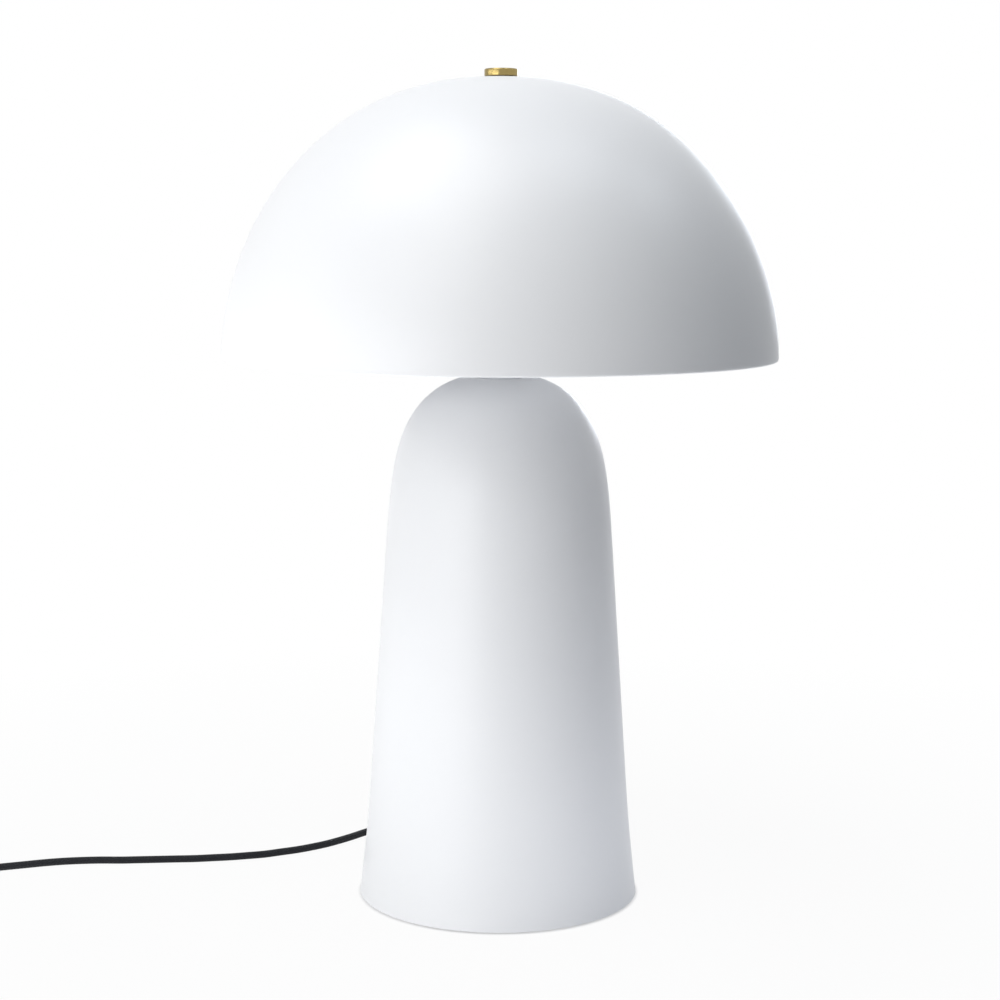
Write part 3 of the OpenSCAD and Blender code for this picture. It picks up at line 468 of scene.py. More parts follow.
# %% Cut the flex's hole
def cut_away(piece, cutters):
    """Takes each cutter's bmesh out of a piece for good."""
    for cutter in cutters:
        tool = placed_mesh("cutter", shaded(cutter))
        boolean = piece.modifiers.new("cut", "BOOLEAN")
        boolean.operation = "DIFFERENCE"
        boolean.solver = "EXACT"
        boolean.object = tool
        graph = bpy.context.evaluated_depsgraph_get()
        cut = bpy.data.meshes.new_from_object(piece.evaluated_get(graph))
        piece.modifiers.clear()
        piece.data = cut
        bpy.data.objects.remove(tool)
    mesh = bmesh.new()
    mesh.from_mesh(piece.data)
    bmesh.ops.dissolve_degenerate(mesh, edges=mesh.edges, dist=1e-7)
    shaded(mesh).to_mesh(piece.data)
    mesh.free()


def rod(start, end, radius, sides=48):
    """A bmesh of a plain rod between two points, for cutting."""
    line = [Vector(start) * MM, Vector(end) * MM]
    level = abs(start[2] - end[2]) < 1
    return swept(line, circle(radius * MM, sides), UP if level else Vector((0, 1, 0)))


DRILL_FROM, DRILL_TO = 60, 120

base = finished_piece("base_bullet", turned(base_profile, BASE_SIDES), "white_paint",
                      stands_for=("base_shell",))
cut_away(base, [rod((0, DRILL_FROM, EXIT_Z), (0, DRILL_TO, EXIT_Z), SLEEVE_R)])
print("Base has", len(base.data.polygons), "faces after the hole is cut")

# %% [markdown]
# ## Neck, knob and washers
# A short white collar stands on the base's seat and carries the bracket. The knob is turned from
# brass bar, with crisp chamfers, and clamps the shade's flat with a thin brass washer under it.
# The shade itself rests on a rubber washer, which grips it and keeps it from rattling. Under the
# base, a felt pad keeps the steel off the table.

# %% The small turned pieces
NECK_R, NECK_H = 12.0, 14.0
KNOB_R, KNOB_H, KNOB_Z = 10.0, 4.5, 495.5
CHAMFER = 0.5
BRACKET_TOP = 490.0
PLATE_Z, PLATE_TOP = BRACKET_TOP + 3, SHADE_TOP - SHADE_WALL
LOCK_Z, HOLDER_Z = 333.5, 334.5
FELT_R = round(base_radius(2) - BASE_WALL - 3, 2)

# Each has its finish, its body, its CAD node and its corners: radius, height, rounding
turned_pieces = {
    "neck": ("white_paint", "lamp_base", "neck_collar", [
        (5, BASE_TOP, 0), (NECK_R, BASE_TOP, 0.3), (NECK_R, BASE_TOP + NECK_H, 0.5),
        (5, BASE_TOP + NECK_H, 0.2)]),
    "knob_turned": ("brass", "knob", "knob", [
        (3.05, KNOB_Z, 0), (KNOB_R - CHAMFER, KNOB_Z, 0.06), (KNOB_R, KNOB_Z + CHAMFER, 0.1),
        (KNOB_R, KNOB_Z + KNOB_H - CHAMFER, 0.12), (KNOB_R - CHAMFER, KNOB_Z + KNOB_H, 0.08),
        (0, KNOB_Z + KNOB_H, 0), (0, KNOB_Z + KNOB_H - 1, 0), (3.05, KNOB_Z + KNOB_H - 1, 0)]),
    "knob_washer_turned": ("brass", "knob_carrier", "knob_washer", [
        (STUD_HOLE_R, SHADE_TOP, 0.1), (7, SHADE_TOP, 0.15), (7, KNOB_Z, 0.15),
        (STUD_HOLE_R, KNOB_Z, 0.1)]),
    "seat_washer_moulded": ("black_rubber", "lamp_base", "seat_washer", [
        (5.3, BRACKET_TOP, 0.4), (11, BRACKET_TOP, 0.6), (11, PLATE_Z, 0.8),
        (5.3, PLATE_Z, 0.5)]),
    "shade_plate_pressed": ("zinc_steel", "shade", "shade_plate", [
        (STUD_HOLE_R, PLATE_Z, 0.1), (FLAT_R, PLATE_Z, 0.25), (FLAT_R, PLATE_TOP, 0.1),
        (STUD_HOLE_R, PLATE_TOP, 0.1)]),
    "lock_washer_pressed": ("zinc_steel", "lamp_base", "lock_washer", [
        (5, LOCK_Z, 0.1), (9, LOCK_Z, 0.2), (9, HOLDER_Z, 0.2), (5, HOLDER_Z, 0.1)]),
    "felt_pad_cut": ("felt", "lamp_base", "felt_pad", [
        (0, 0, 0), (FELT_R, 0, 0.5), (FELT_R, 2, 0.3), (0, 2, 0)]),
}
for name, (slot, body, node, corners) in turned_pieces.items():
    finished_piece(name, turned(rounded(corners)), slot, body, (node,))
print(len(turned_pieces), "small turned pieces")

# %% [markdown]
# ## The bracket
# A flat steel bar is bent into a tall loop round the bulb, with its ends on the neck and its top
# under the shade. It is one outline swept round a closed line: the outline is the bar's section
# with eased edges, and the line has a quarter circle at each bend.

# %% Bend the bar
BAR_W, BAR_T, ARM_AT, BEND_R, EASED = 12.0, 2.0, 44.0, 12.0, 0.35
BRACKET_Z = BASE_TOP + NECK_H
mid_bend = BEND_R - BAR_T / 2
arm_x, low_z, high_z = ARM_AT - BAR_T / 2, BRACKET_Z + BAR_T / 2, BRACKET_TOP - BAR_T / 2
loop = rounded([(-arm_x, low_z, mid_bend), (arm_x, low_z, mid_bend),
                (arm_x, high_z, mid_bend), (-arm_x, high_z, mid_bend)], arc_steps=16)
bar_section = rounded([(-BAR_T / 2, -BAR_W / 2, EASED), (BAR_T / 2, -BAR_W / 2, EASED),
                       (BAR_T / 2, BAR_W / 2, EASED), (-BAR_T / 2, BAR_W / 2, EASED)], arc_steps=3)
bracket = finished_piece(
    "bracket_bent",
    swept([Vector((x, 0, z)) * MM for x, z in loop], [(a * MM, b * MM) for a, b in bar_section],
          Vector((0, 1, 0)), ring=True),
    "zinc_steel", stands_for=("harp_bracket",))
cut_away(bracket, [rod((0, 0, BRACKET_Z - 3), (0, 0, BRACKET_Z + 5), 5.0),
                   rod((0, 0, BRACKET_TOP - 5), (0, 0, BRACKET_TOP + 3), 3.0)])
print("Bracket", 2 * ARM_AT, "mm wide and", BRACKET_TOP - BRACKET_Z, "mm tall")

# %% [markdown]
# ## Threads and nuts
# The stud that the knob screws onto is an M6 thread, and its nut has six flats with turned
# corners. A thread is a turned rod whose radius rises and falls once for each pitch, shifted
# round the rod so that the crest climbs. A nut is turned too: its radius follows the hexagon, and
# near each face no more than a shallow cone.


# %% Thread and nut forms
def thread_depth(pitch, bottom, top, soft=False):
    """The height of a thread from 0 to 1, for a height and an angle, fading out at its ends."""
    def depth(z, angle):
        phase = (z / pitch - angle / (2 * math.pi)) % 1
        height = 0.5 - 0.5 * math.cos(2 * math.pi * phase) if soft else 1 - abs(2 * phase - 1)
        return height * max(0, min(1, (z - bottom) / (0.5 * pitch), (top - z) / (0.5 * pitch)))
    return depth


def levels(bottom, top, pitch):
    """Ten heights for each turn of a thread."""
    rows = max(8, round((top - bottom) / pitch * 10))
    return [bottom + (top - bottom) * i / rows for i in range(rows + 1)]


def thread(core, crest, pitch, bottom, top, sides=32, soft=False, collar=()):
    """A bmesh of a threaded rod. A collar is a list of points that interrupts the thread."""
    depth = thread_depth(pitch, bottom, top, soft)
    heights = levels(bottom, top, pitch)
    if collar:
        heights = [z for z in heights if z < collar[0][1] - 0.02 or z > collar[-1][1] + 0.02]
    profile = sorted([(core, z) for z in heights] + list(collar), key=lambda point: point[1])
    return turned([(0, bottom)] + profile + [(0, top)], sides,
                  lambda r, z, a: core + (crest - core) * depth(z, a) if r == core else r)


def nut(across_flats, bottom, top, bore):
    """A bmesh of a hexagonal nut with chamfered corners."""
    flat = across_flats / 2
    corner = flat / math.cos(math.pi / 6)
    chamfer = (corner - flat) * math.tan(math.radians(30))
    outer = [(flat * 0.96, bottom), (corner * 1.01, bottom + chamfer),
             (corner * 1.01, top - chamfer), (flat * 0.96, top)]

    def hexagon(r, z, angle):
        if r <= bore:
            return r
        turn = (angle + math.pi / 6) % (math.pi / 3) - math.pi / 6
        return min(r, flat / math.cos(turn))

    steps = [(r0 + (r1 - r0) * t, z0 + (z1 - z0) * t)
             for (r0, z0), (r1, z1) in zip(outer, outer[1:]) for t in (0, 0.25, 0.5, 0.75)]
    return turned([(bore, bottom)] + steps + [outer[-1], (bore, top)], shape=hexagon)


STUD_TOP, STUD_Z = 498.8, BRACKET_TOP - 7
STUD_CORE_R, STUD_CREST_R, STUD_PITCH = 2.55, 2.98, 1.0
flange = [(2.56, BRACKET_TOP), (5, BRACKET_TOP), (5, BRACKET_TOP + 1.25),
          (4.93, BRACKET_TOP + 1.43), (4.75, BRACKET_TOP + 1.5), (2.56, BRACKET_TOP + 1.5)]
finished_piece("stud_threaded",
               thread(STUD_CORE_R, STUD_CREST_R, STUD_PITCH, STUD_Z, STUD_TOP, 48, collar=flange),
               "zinc_steel", stands_for=("shade_stud",))
finished_piece("stud_nut_hex", nut(10, BRACKET_TOP - 6, BRACKET_TOP - 2, 3), "zinc_steel",
               stands_for=("stud_nut",))
finished_piece("tube_nut_hex", nut(17, 6, 10, 5), "brass", stands_for=("tube_nut",))
print("Stud", round(STUD_TOP - STUD_Z, 1), "mm long with a pitch of", STUD_PITCH, "mm")

# %% [markdown]
# ## Lampholder and bulb
# A black plastic lampholder screws onto the tube, with grip flutes round its barrel. In it sits a
# small opal globe bulb, off, with a rolled metal screw cap, a black glass insulator and a solder
# contact. The cap's thread is soft, because it is rolled from thin sheet and not cut.

# %% Turn the lampholder and the bulb
MOUTH_Z = 352.5
FLUTES, FLUTE_DEPTH = 36, 0.35
BULB_CAP_Z, GLOBE_Z, GLOBE_MID, GLOBE_R = 366.0, 385.0, 416.5, 22.5
CONTACT_Z, INSULATOR_Z = 361.0, 362.5
BULB_PITCH, CAP_CORE_R, CAP_CREST_R = 3.6, 12.4, 13.1

holder_cap = rounded([
    (5, HOLDER_Z, 0), (8.5, HOLDER_Z, 0.4), (8.5, HOLDER_Z + 4, 0.8), (17.5, HOLDER_Z + 9, 2),
    (19.5, HOLDER_Z + 12, 1.5), (19.5, MOUTH_Z, 0.25), (17.5, MOUTH_Z, 0),
    (17.5, HOLDER_Z + 12.5, 0.5), (15.5, HOLDER_Z + 10.5, 0.5), (8.5, HOLDER_Z + 7, 0.5),
    (8.5, HOLDER_Z + 9, 0), (5, HOLDER_Z + 9, 0)])
finished_piece("holder_cap_moulded", turned(holder_cap), "black_plastic",
               stands_for=("holder_cap",))


def fluted(r, z, angle):
    """The barrel's radius, with flutes round its lower half."""
    if r < 18.5 or not MOUTH_Z + 1.5 < z < MOUTH_Z + 17:
        return r
    return r - FLUTE_DEPTH * (0.5 - 0.5 * math.cos(FLUTES * angle))


barrel_heights = [1.4, 1.6, 2.4, 9, 15.6, 16.9, 17.1, 30]
barrel = ([(17.5, MOUTH_Z), (19.3, MOUTH_Z), (19.5, MOUTH_Z + 0.2)]
          + [(19.5, MOUTH_Z + h) for h in barrel_heights]
          + [(19.5, MOUTH_Z + 35.4), (19.3, MOUTH_Z + 35.9), (18.9, MOUTH_Z + 36),
             (18.0, MOUTH_Z + 36), (17.6, MOUTH_Z + 35.8), (17.5, MOUTH_Z + 35.4)])
finished_piece("holder_barrel_moulded", turned(barrel, FLUTES * 6, fluted), "black_plastic",
               stands_for=("holder_barrel",))

finished_piece("bulb_cap_rolled",
               thread(CAP_CORE_R, CAP_CREST_R, BULB_PITCH, BULB_CAP_Z, GLOBE_Z, 64, soft=True),
               "nickel", "bulb", ("bulb_cap",))
finished_piece("bulb_insulator_glass", turned(rounded([
    (0, INSULATOR_Z, 0), (5, INSULATOR_Z, 0.5), (12.1, BULB_CAP_Z, 0.3), (0, BULB_CAP_Z, 0)]), 64),
    "black_plastic", "bulb", ("bulb_insulator",))
finished_piece("bulb_contact", turned(rounded([
    (0, CONTACT_Z, 0), (4, CONTACT_Z, 1.1), (4, INSULATOR_Z, 0), (0, INSULATOR_Z, 0)]), 48),
    "nickel", "bulb_carrier", ("bulb_tip",))

SHELL_Z, SHELL_TOP = 358.5, 384.5
# The shell's inner and outer radius, and how far its thread stands out
SHELL_R, SHELL_OUTER_R, SHELL_DEPTH = 13.2, 13.45, 0.4
shell_depth = thread_depth(BULB_PITCH, BULB_CAP_Z - BULB_PITCH, SHELL_TOP + BULB_PITCH, soft=True)
shell_heights = levels(SHELL_Z, SHELL_TOP, BULB_PITCH)
shell = [(SHELL_R, z) for z in shell_heights] + [(SHELL_OUTER_R, z) for z in shell_heights[::-1]]
finished_piece("holder_thread_rolled",
               turned(shell, 64, lambda r, z, a: r + SHELL_DEPTH * shell_depth(z, a)),
               "nickel", stands_for=("holder_thread",))

neck_points = [Vector((r, 0, GLOBE_Z + up))
               for r, up in ((12.8, 0), (13.1, 5), (14.4, 11), (17.2, 17))]
globe = [(p.x, p.z) for p in smooth_curve(neck_points, 1.0)]
globe += [(GLOBE_R * math.cos(math.radians(a)), GLOBE_MID + GLOBE_R * math.sin(math.radians(a)))
          for a in range(-36, 90, 3)]
finished_piece("bulb_globe_blown", turned([(0, GLOBE_Z)] + globe + [(0, GLOBE_MID + GLOBE_R)]),
               "opal", "bulb", ("bulb_globe",))
print("Lampholder with", FLUTES, "flutes, bulb", 2 * GLOBE_R, "mm across")

# %% [markdown]
# ## The strain relief
# Where the flex leaves the base, a tapered rubber sleeve keeps it from being bent sharply. Rings
# cut into it make it more supple towards its tip. It is turned like the other round pieces, and
# then laid along its own axis, which points out of the back of the base.


# %% Lay a turned piece along another axis
def pointing(mesh, origin, direction):
    """The bmesh with its Z axis turned to a direction and its origin moved, in millimetres."""
    turn = Vector((0, 0, 1)).rotation_difference(Vector(direction))
    for vert in mesh.verts:
        vert.co = turn @ vert.co + Vector(origin) * MM
    return mesh


def ribbed_sleeve(base_radius_mm, tip_radius_mm, length, first, last, pitch=2.6, groove=0.55):
    """A profile from a wide end at 0 to a narrow end, with ring grooves from first to last."""
    profile = [(2.4, 0), (base_radius_mm - 0.3, 0)]
    steps = round(length / 0.2)
    for i in range(2, steps - 1):
        s = length * i / steps
        radius = base_radius_mm + (tip_radius_mm - base_radius_mm) * s / length
        phase = ((s - first) / pitch) % 1
        cut = groove * min(1, 6 * max(0, 0.22 - abs(phase - 0.5))) if first < s < last else 0
        profile.append((radius - cut, s))
    return profile + [(tip_radius_mm - 0.25, length), (2.4, length)]


SLEEVE_LEN = 25
FLANGE_Y = TIP_Y - SLEEVE_LEN
RELIEF_R, RELIEF_TIP_R = 5.5, 3.2
relief_profile = ribbed_sleeve(RELIEF_R, RELIEF_TIP_R, SLEEVE_LEN, 4, 24)
relief = finished_piece(
    "strain_relief_ribbed",
    pointing(turned(relief_profile, 48), (0, FLANGE_Y, EXIT_Z), (0, 1, 0)),
    "black_rubber", stands_for=("strain_relief",))
print("Strain relief from y =", round(FLANGE_Y, 3), "to", TIP_Y, "mm")

# %% [markdown]
# ## The in-line switch
# The switch is moulded in two halves, with rounded corners, softened edges and a fine parting
# line. A moulding like this is a stack of rounded rectangles: each one is a little larger or
# smaller than the one below, so the stack follows the rounding of the edges. The rocker's well
# and the sunk screws are cut out afterwards.


# %% Stack outlines
def stacked(outlines):
    """A bmesh through outlines of (x, y, z) points in millimetres, closed at both ends."""
    mesh = bmesh.new()
    rings = [[mesh.verts.new(Vector(p) * MM) for p in outline] for outline in outlines]
    for low, high in zip(rings, rings[1:]):
        for k in range(len(low)):
            n = (k + 1) % len(low)
            mesh.faces.new((low[k], low[n], high[n], high[k]))
    mesh.faces.new(rings[0])
    mesh.faces.new(rings[-1])
    return mesh


def rounded_rectangle(length, width, corner, inset, z, middle):
    """A rounded rectangle at a height, smaller by the inset all round."""
    x, y, r = length / 2 - inset, width / 2 - inset, max(0.3, corner - inset)
    outline = rounded([(-x, -y, r), (x, -y, r), (x, y, r), (-x, y, r)], arc_steps=10)
    return [(middle[0] + a, middle[1] + b, z) for a, b in outline]


SWITCH_W, SWITCH_H, CORNER_R, PARTING_Z = 24.0, 15.0, 7.0, SWITCH_Z
switch_mid = (switch_x, switch_y)
quarter = [math.radians(a) for a in range(0, 91, 15)]


def half_shell(insets):
    """One half of the switch, from pairs of an inset and a height."""
    return stacked([rounded_rectangle(SWITCH_LEN, SWITCH_W, CORNER_R, inset, z, switch_mid)
                    for inset, z in insets])


SCREW_X, SCREW_Y, SCREW_HOLE_R = 21, 7, 2.2


def screw_place(side, z):
    """A place on the axis of one of the switch's two screws."""
    return (switch_x + side * SCREW_X, switch_y + side * SCREW_Y, z)


EDGE_LOW, EDGE_HIGH, PARTING = 1.4, 3.2, 0.22
low_levels = [(EDGE_LOW * (1 - math.sin(a)), EDGE_LOW * (1 - math.cos(a))) for a in quarter]
low_levels += [(0, PARTING_Z - PARTING), (PARTING, PARTING_Z)]
high_levels = [(PARTING, PARTING_Z), (0, PARTING_Z + PARTING)]
high_levels += [(EDGE_HIGH * (1 - math.cos(a)), SWITCH_H - EDGE_HIGH * (1 - math.sin(a)))
                for a in quarter]
switch_low = finished_piece("switch_low_half", half_shell(low_levels), "black_plastic",
                            stands_for=("switch_base",))
switch_high = finished_piece("switch_high_half", half_shell(high_levels), "black_plastic",
                             stands_for=("switch_cover",))
WELL_LEN, WELL_W, WELL_R, WELL_Z = 20, 11.8, 0.8, 7.6
cut_away(switch_low, [rod(screw_place(side, -1), screw_place(side, 2), SCREW_HOLE_R, 32)
                      for side in (-1, 1)])
cut_away(switch_high, [stacked([rounded_rectangle(WELL_LEN, WELL_W, WELL_R, 0, z, switch_mid)
                                for z in (WELL_Z, SWITCH_H + 1)])])
print("Switch", SWITCH_LEN, "x", SWITCH_W, "x", SWITCH_H, "mm")

# %% [markdown]
# The rocker is one outline, seen from the side, pulled across the switch: two slopes that meet in
# a ridge, each with a shallow hollow for the fingertip. It leans to one side on its pin. A small
# sleeve guards the flex at each end of the switch.

# %% Rocker and sleeves
ROCKER_Z, LEAN = 10.5, math.radians(8)
ROCKER_W = 11.0
half_outline = [(9.0, -0.6), (9.0, 3.6), (8.6, 4.0), (7.0, 4.05), (5.0, 4.2), (3.0, 4.6),
                (1.2, 5.3), (0.4, 5.5)]
rocker_outline = ([(-4, -2.1), (4, -2.1)] + half_outline
                  + [(-x, z) for x, z in half_outline[::-1]])


def leaning(x, y, z):
    """A point of the rocker, turned on its pin."""
    return (switch_x + x * math.cos(LEAN) + z * math.sin(LEAN), switch_y + y,
            ROCKER_Z - x * math.sin(LEAN) + z * math.cos(LEAN))


rocker_sides = [(-ROCKER_W / 2, 0.96), (-ROCKER_W / 2 + 0.3, 1.0), (ROCKER_W / 2 - 0.3, 1.0),
                (ROCKER_W / 2, 0.96)]
rocker = finished_piece(
    "rocker_moulded",
    stacked([[leaning(x * share, y, z * share) for x, z in rocker_outline]
             for y, share in rocker_sides]),
    "black_plastic", "switch_rocker", ("rocker",))

sleeve_corners = [(CORD_R, -0.5, 0), (4.4, -0.5, 0), (4.4, 1.0, 0.6), (3.3, 4.5, 0.5),
                  (CORD_R, 4.5, 0)]
for side, name in ((1, "switch_sleeve_lamp"), (-1, "switch_sleeve_plug")):
    sleeve = turned(rounded(sleeve_corners), 48)
    origin = (switch_x + side * SWITCH_LEN / 2, switch_y, SWITCH_Z)
    finished_piece(name, pointing(sleeve, origin, (side, 0, 0)), "black_rubber")
print("Rocker", ROCKER_W, "mm wide, with a sleeve at each end of the switch")

# %% [markdown]
# Seven small screws hold the lamp together: three countersunk ones in the bottom plate, two in
# the clamp of the flex inside, and two in the switch. They share one form, a short thread under a
# head with a cross recess, which two tapered slots cut out.


# %% Cross-head screws
def slot(length, width, depth, crosswise):
    """A bmesh of one tapered slot, for cutting."""
    def outline(z, x, y):
        x, y = (y, x) if crosswise else (x, y)
        return [(-x, -y, z), (x, -y, z), (x, y, z), (-x, y, z)]
    return stacked([outline(-0.1, length / 2, width / 2), outline(depth, length / 4, width / 2)])


def screw(node, place, way, head_r, head_h, under_r, shank_r, length):
    """A screw whose head's face is at a place and whose shank points a way."""
    head = [(head_r - 0.3, 0.0), (head_r, 0.25), (under_r, head_h)]
    if under_r == head_r:
        head.append((shank_r - 0.3, head_h + 0.01))
    mesh = thread(shank_r - 0.35, shank_r, 0.8, 0, length, 24, collar=head)
    made = finished_piece(node + "_cross", pointing(mesh, place, way), "zinc_steel",
                          stands_for=(node,))
    cut_away(made, [pointing(slot(head_r * 1.25, head_r * 0.28, 1.0, crosswise), place, way)
                    for crosswise in (False, True)])
    return made


# Head radius and height, radius under the head, thread radius and length
SWITCH_SCREW = (2.15, 1.5, 2.15, 1.2, 10.15)
CLAMP_SCREW = (2.8, 1.8, 2.8, 1.5, 14.4)
PLATE_SCREW = (3.8, 1.5, 2.0, 2.0, 10)
PLATE_SCREW_AT, PLATE_SCREW_ANGLES = 60, (30, 150, 270)

for i, side in ((1, -1), (2, 1)):
    made = screw(f"switch_screw_{i}", screw_place(side, 0.5), (0, 0, 1), *SWITCH_SCREW)
    screw(f"clamp_screw_{i}", (side * 7.5, 55, 24.9), (0, 0, -1), *CLAMP_SCREW)
for i, angle in enumerate(PLATE_SCREW_ANGLES, 1):
    a = math.radians(angle)
    place = (PLATE_SCREW_AT * math.cos(a), PLATE_SCREW_AT * math.sin(a), 2)
    screw(f"plate_screw_{i}", place, (0, 0, 1), *PLATE_SCREW)

# %% [markdown]
# ## The plug
# A flat two-pin plug ends the flex. Its body is moulded round the pins: it is narrow at the flex,
# swells to a broad grip, and narrows again to its face. A loft through superellipses gives that
# form, and the superellipse gets squarer towards the face. The pins have rounded tips, and
# insulating sleeves on the half near the body.

# %% Loft the plug
PLUG_LEN, RELIEF_LEN = 36.0, 20.0
PIN_GAP, PIN_R, PIN_LEN, SLEEVED_LEN = 19.0, 2, 19, 10
OUT, ASIDE = (out_x, out_y, 0), (-out_y, out_x, 0)
# Distance from the relief, half width and half thickness
widths = [Vector(p) for p in ((0, 5.9, 5.9), (6, 8.4, 6.3), (12, 12.6, 6.8), (18, 16.4, 6.98),
                              (24, 17.1, 7.0), (30, 15.8, 7.0), (34.5, 14.5, 6.98))]
sections = smooth_curve(widths, 1.2) + [Vector((35.6, 14.1, 6.6)), Vector((36, 13.6, 6.1))]


def on_plug(along, aside, up=0.0):
    """A point of the plug, from the end of the flex."""
    x, y, z = beyond(plug_start, along, up)
    return (x + ASIDE[0] * aside, y + ASIDE[1] * aside, z)


def superellipse(width, height, power, sides=56):
    """Half widths across and up, from an ellipse at power 2 to nearly a rectangle at 4."""
    points = []
    for k in range(sides):
        c, s = math.cos(2 * math.pi * k / sides), math.sin(2 * math.pi * k / sides)
        points.append((width * math.copysign(abs(c) ** (2 / power), c),
                       height * math.copysign(abs(s) ** (2 / power), s)))
    return points


plug = finished_piece(
    "plug_body_moulded",
    stacked([[on_plug(RELIEF_LEN + p.x, y, z)
              for y, z in superellipse(p.y, p.z, 2.1 + 1.7 * p.x / PLUG_LEN)] for p in sections]),
    "black_plastic", stands_for=("plug_body",))
back = (-out_x, -out_y, 0)
relief_profile = ribbed_sleeve(RELIEF_R, RELIEF_TIP_R, RELIEF_LEN, 1.5, 19)
on_the_flex = [finished_piece(
    "plug_relief_ribbed", pointing(turned(relief_profile, 48), on_plug(RELIEF_LEN, 0), back),
    "black_rubber")]
for i, side in ((1, -1), (2, 1)):
    place = on_plug(RELIEF_LEN + PLUG_LEN, side * PIN_GAP / 2)
    sleeve = turned(rounded([(0, -0.5, 0), (PIN_R, -0.5, 0), (PIN_R, SLEEVED_LEN, 0.15),
                             (0, SLEEVED_LEN, 0)]), 40)
    tip = turned(rounded([(0, SLEEVED_LEN, 0), (PIN_R, SLEEVED_LEN, 0.1), (PIN_R, PIN_LEN, 1.6),
                          (0, PIN_LEN, 0)], 8), 40)
    on_the_flex += [
        finished_piece(f"plug_sleeve_{i}", pointing(sleeve, place, OUT), "black_plastic",
                       stands_for=(f"pin_sleeve_{i}",)),
        finished_piece(f"plug_pin_round_{i}", pointing(tip, place, OUT), "nickel",
                       stands_for=(f"plug_pin_{i}",))]
print("Plug's face at", [round(x, 2) for x in on_plug(RELIEF_LEN + PLUG_LEN, 0)], "mm")

# %% [markdown]
# The flex's real length is 1.8 m, and its measured length is printed beside it.

print("Flex declared as 1.8 m, measured", round(flex_length, 4), "m")

# %% [markdown]
# ## Shader maths
# A procedural finish is a small calculation made at every point of a surface. Writing it as
# Python expressions keeps it readable: a socket is wrapped so that plus, minus, times and divide
# add the matching Math nodes, also when the number comes first, as in 1 - mask. Every other node
# comes from one method, which sets the node up first and then fills its sockets, given by name or
# number, with values or links. A finished material is kept under its name.


# %% Wrap a socket
class Socket:
    """An output of a shader node that can be used in arithmetic."""

    def __init__(self, shader, output):
        self.shader, self.output = shader, output

    def maths(self, operation, *others):
        """A Math node with this socket first."""
        values = dict(enumerate((self, *others)))
        return self.shader.node("Math", values, operation=operation)

    def __add__(self, other):
        return self.maths("ADD", other)

    __radd__ = __add__

    def __sub__(self, other):
        return self.maths("SUBTRACT", other)

    def __rsub__(self, other):
        return self.shader.node("Math", {0: other, 1: self}, operation="SUBTRACT")

    def __mul__(self, other):
        return self.maths("MULTIPLY", other)

    __rmul__ = __mul__

    def __truediv__(self, other):
        return self.maths("DIVIDE", other)

    def __mod__(self, other):
        return self.maths("FLOORED_MODULO", other)

    def wave(self):
        """0 to 1 and back, once for each whole number."""
        return 0.5 + 0.5 * (self * (2 * math.pi)).maths("SINE")

    def at_least(self, other):
        return self.maths("MAXIMUM", other)

    def at_most(self, other):
        return self.maths("MINIMUM", other)


finishes = {}


class Shader:
    """A material's or a world's node tree, filled by node()."""

    def __init__(self, name, owner=None):
        self.name, self.owner = name, owner or bpy.data.materials.new(name)
        self.owner.use_nodes = True
        self.tree = self.owner.node_tree
        self.tree.nodes.clear()

    def node(self, kind, sockets=None, output=0, **settings):
        """A node of a kind, with its settings first and then its sockets' values or links."""
        made = self.tree.nodes.new("ShaderNode" + kind)
        for key, value in settings.items():
            setattr(made, key, value)
        for key, value in (sockets or {}).items():
            if isinstance(value, Socket):
                self.tree.links.new(value.output, made.inputs[key])
            else:
                made.inputs[key].default_value = value
        return Socket(self, made.outputs[output])

    def mix(self, share, first, second):
        """A colour between two others, by a share that is a number or a socket."""
        sockets = {0: share, 6: (*first, 1), 7: (*second, 1)}
        return self.node("Mix", sockets, 2, data_type="RGBA")

    def place(self):
        """The point's own place on the lamp, in metres."""
        return self.node("TexCoord", output="Object")

    def stretched(self, x, y, z):
        """The place with each of its directions scaled."""
        return self.node("VectorMath", {0: self.place(), 1: (x, y, z)}, operation="MULTIPLY")

    def noise(self, scale, detail=2.0, roughness=0.5, vector=None):
        """Cloudy noise, 0 to 1. A higher scale is finer, and more detail adds smaller clouds."""
        return self.node("TexNoise", {"Vector": vector or self.place(), "Scale": scale,
                                      "Detail": detail, "Roughness": roughness})

    def finish(self, colour, roughness, bumps, **constants):
        """Ends the tree in a Principled shader. Each bump is (height, strength, distance)."""
        normal = None
        for height, strength, distance in bumps:
            sockets = {"Height": height, "Strength": strength, "Distance": distance}
            if normal:
                sockets["Normal"] = normal
            normal = self.node("Bump", sockets)
        sockets = {"Base Color": colour, "Roughness": roughness, "Normal": normal}
        sockets.update({key.replace("_", " "): value for key, value in constants.items()})
        surface = self.node("BsdfPrincipled", sockets)
        self.node_end("Material", surface)
        finishes[self.name] = self.owner

    def node_end(self, kind, surface):
        """Ends the tree in a material's or a world's output."""
        end = self.tree.nodes.new("ShaderNodeOutput" + kind)
        self.tree.links.new(surface.output, end.inputs["Surface"])


print("Shader maths is ready")

# %% [markdown]
# ## Painted metal, brass and steel
# The white parts are powder coated: the powder melts into a satin skin with a very slight orange
# peel, about 2 mm from crest to crest. Brass is left bare after turning, so it keeps fine rings
# from the tool. Zinc plating is a dull blue-grey with faint streaks. Several finishes need no
# more than one noise for colour and gloss and one for a fine bump, so one function makes them.

# %% The metal finishes
paint = Shader("white_paint")
cloud = paint.noise(9, 1)
paint.finish(
    paint.mix(cloud, (0.838, 0.845, 0.859), (0.854, 0.861, 0.874)),
    0.36 + 0.06 * paint.noise(40, 2),
    [(paint.noise(480, 1), 0.35, 0.00004), (paint.noise(5000, 1), 0.15, 0.000008)], IOR=1.5)


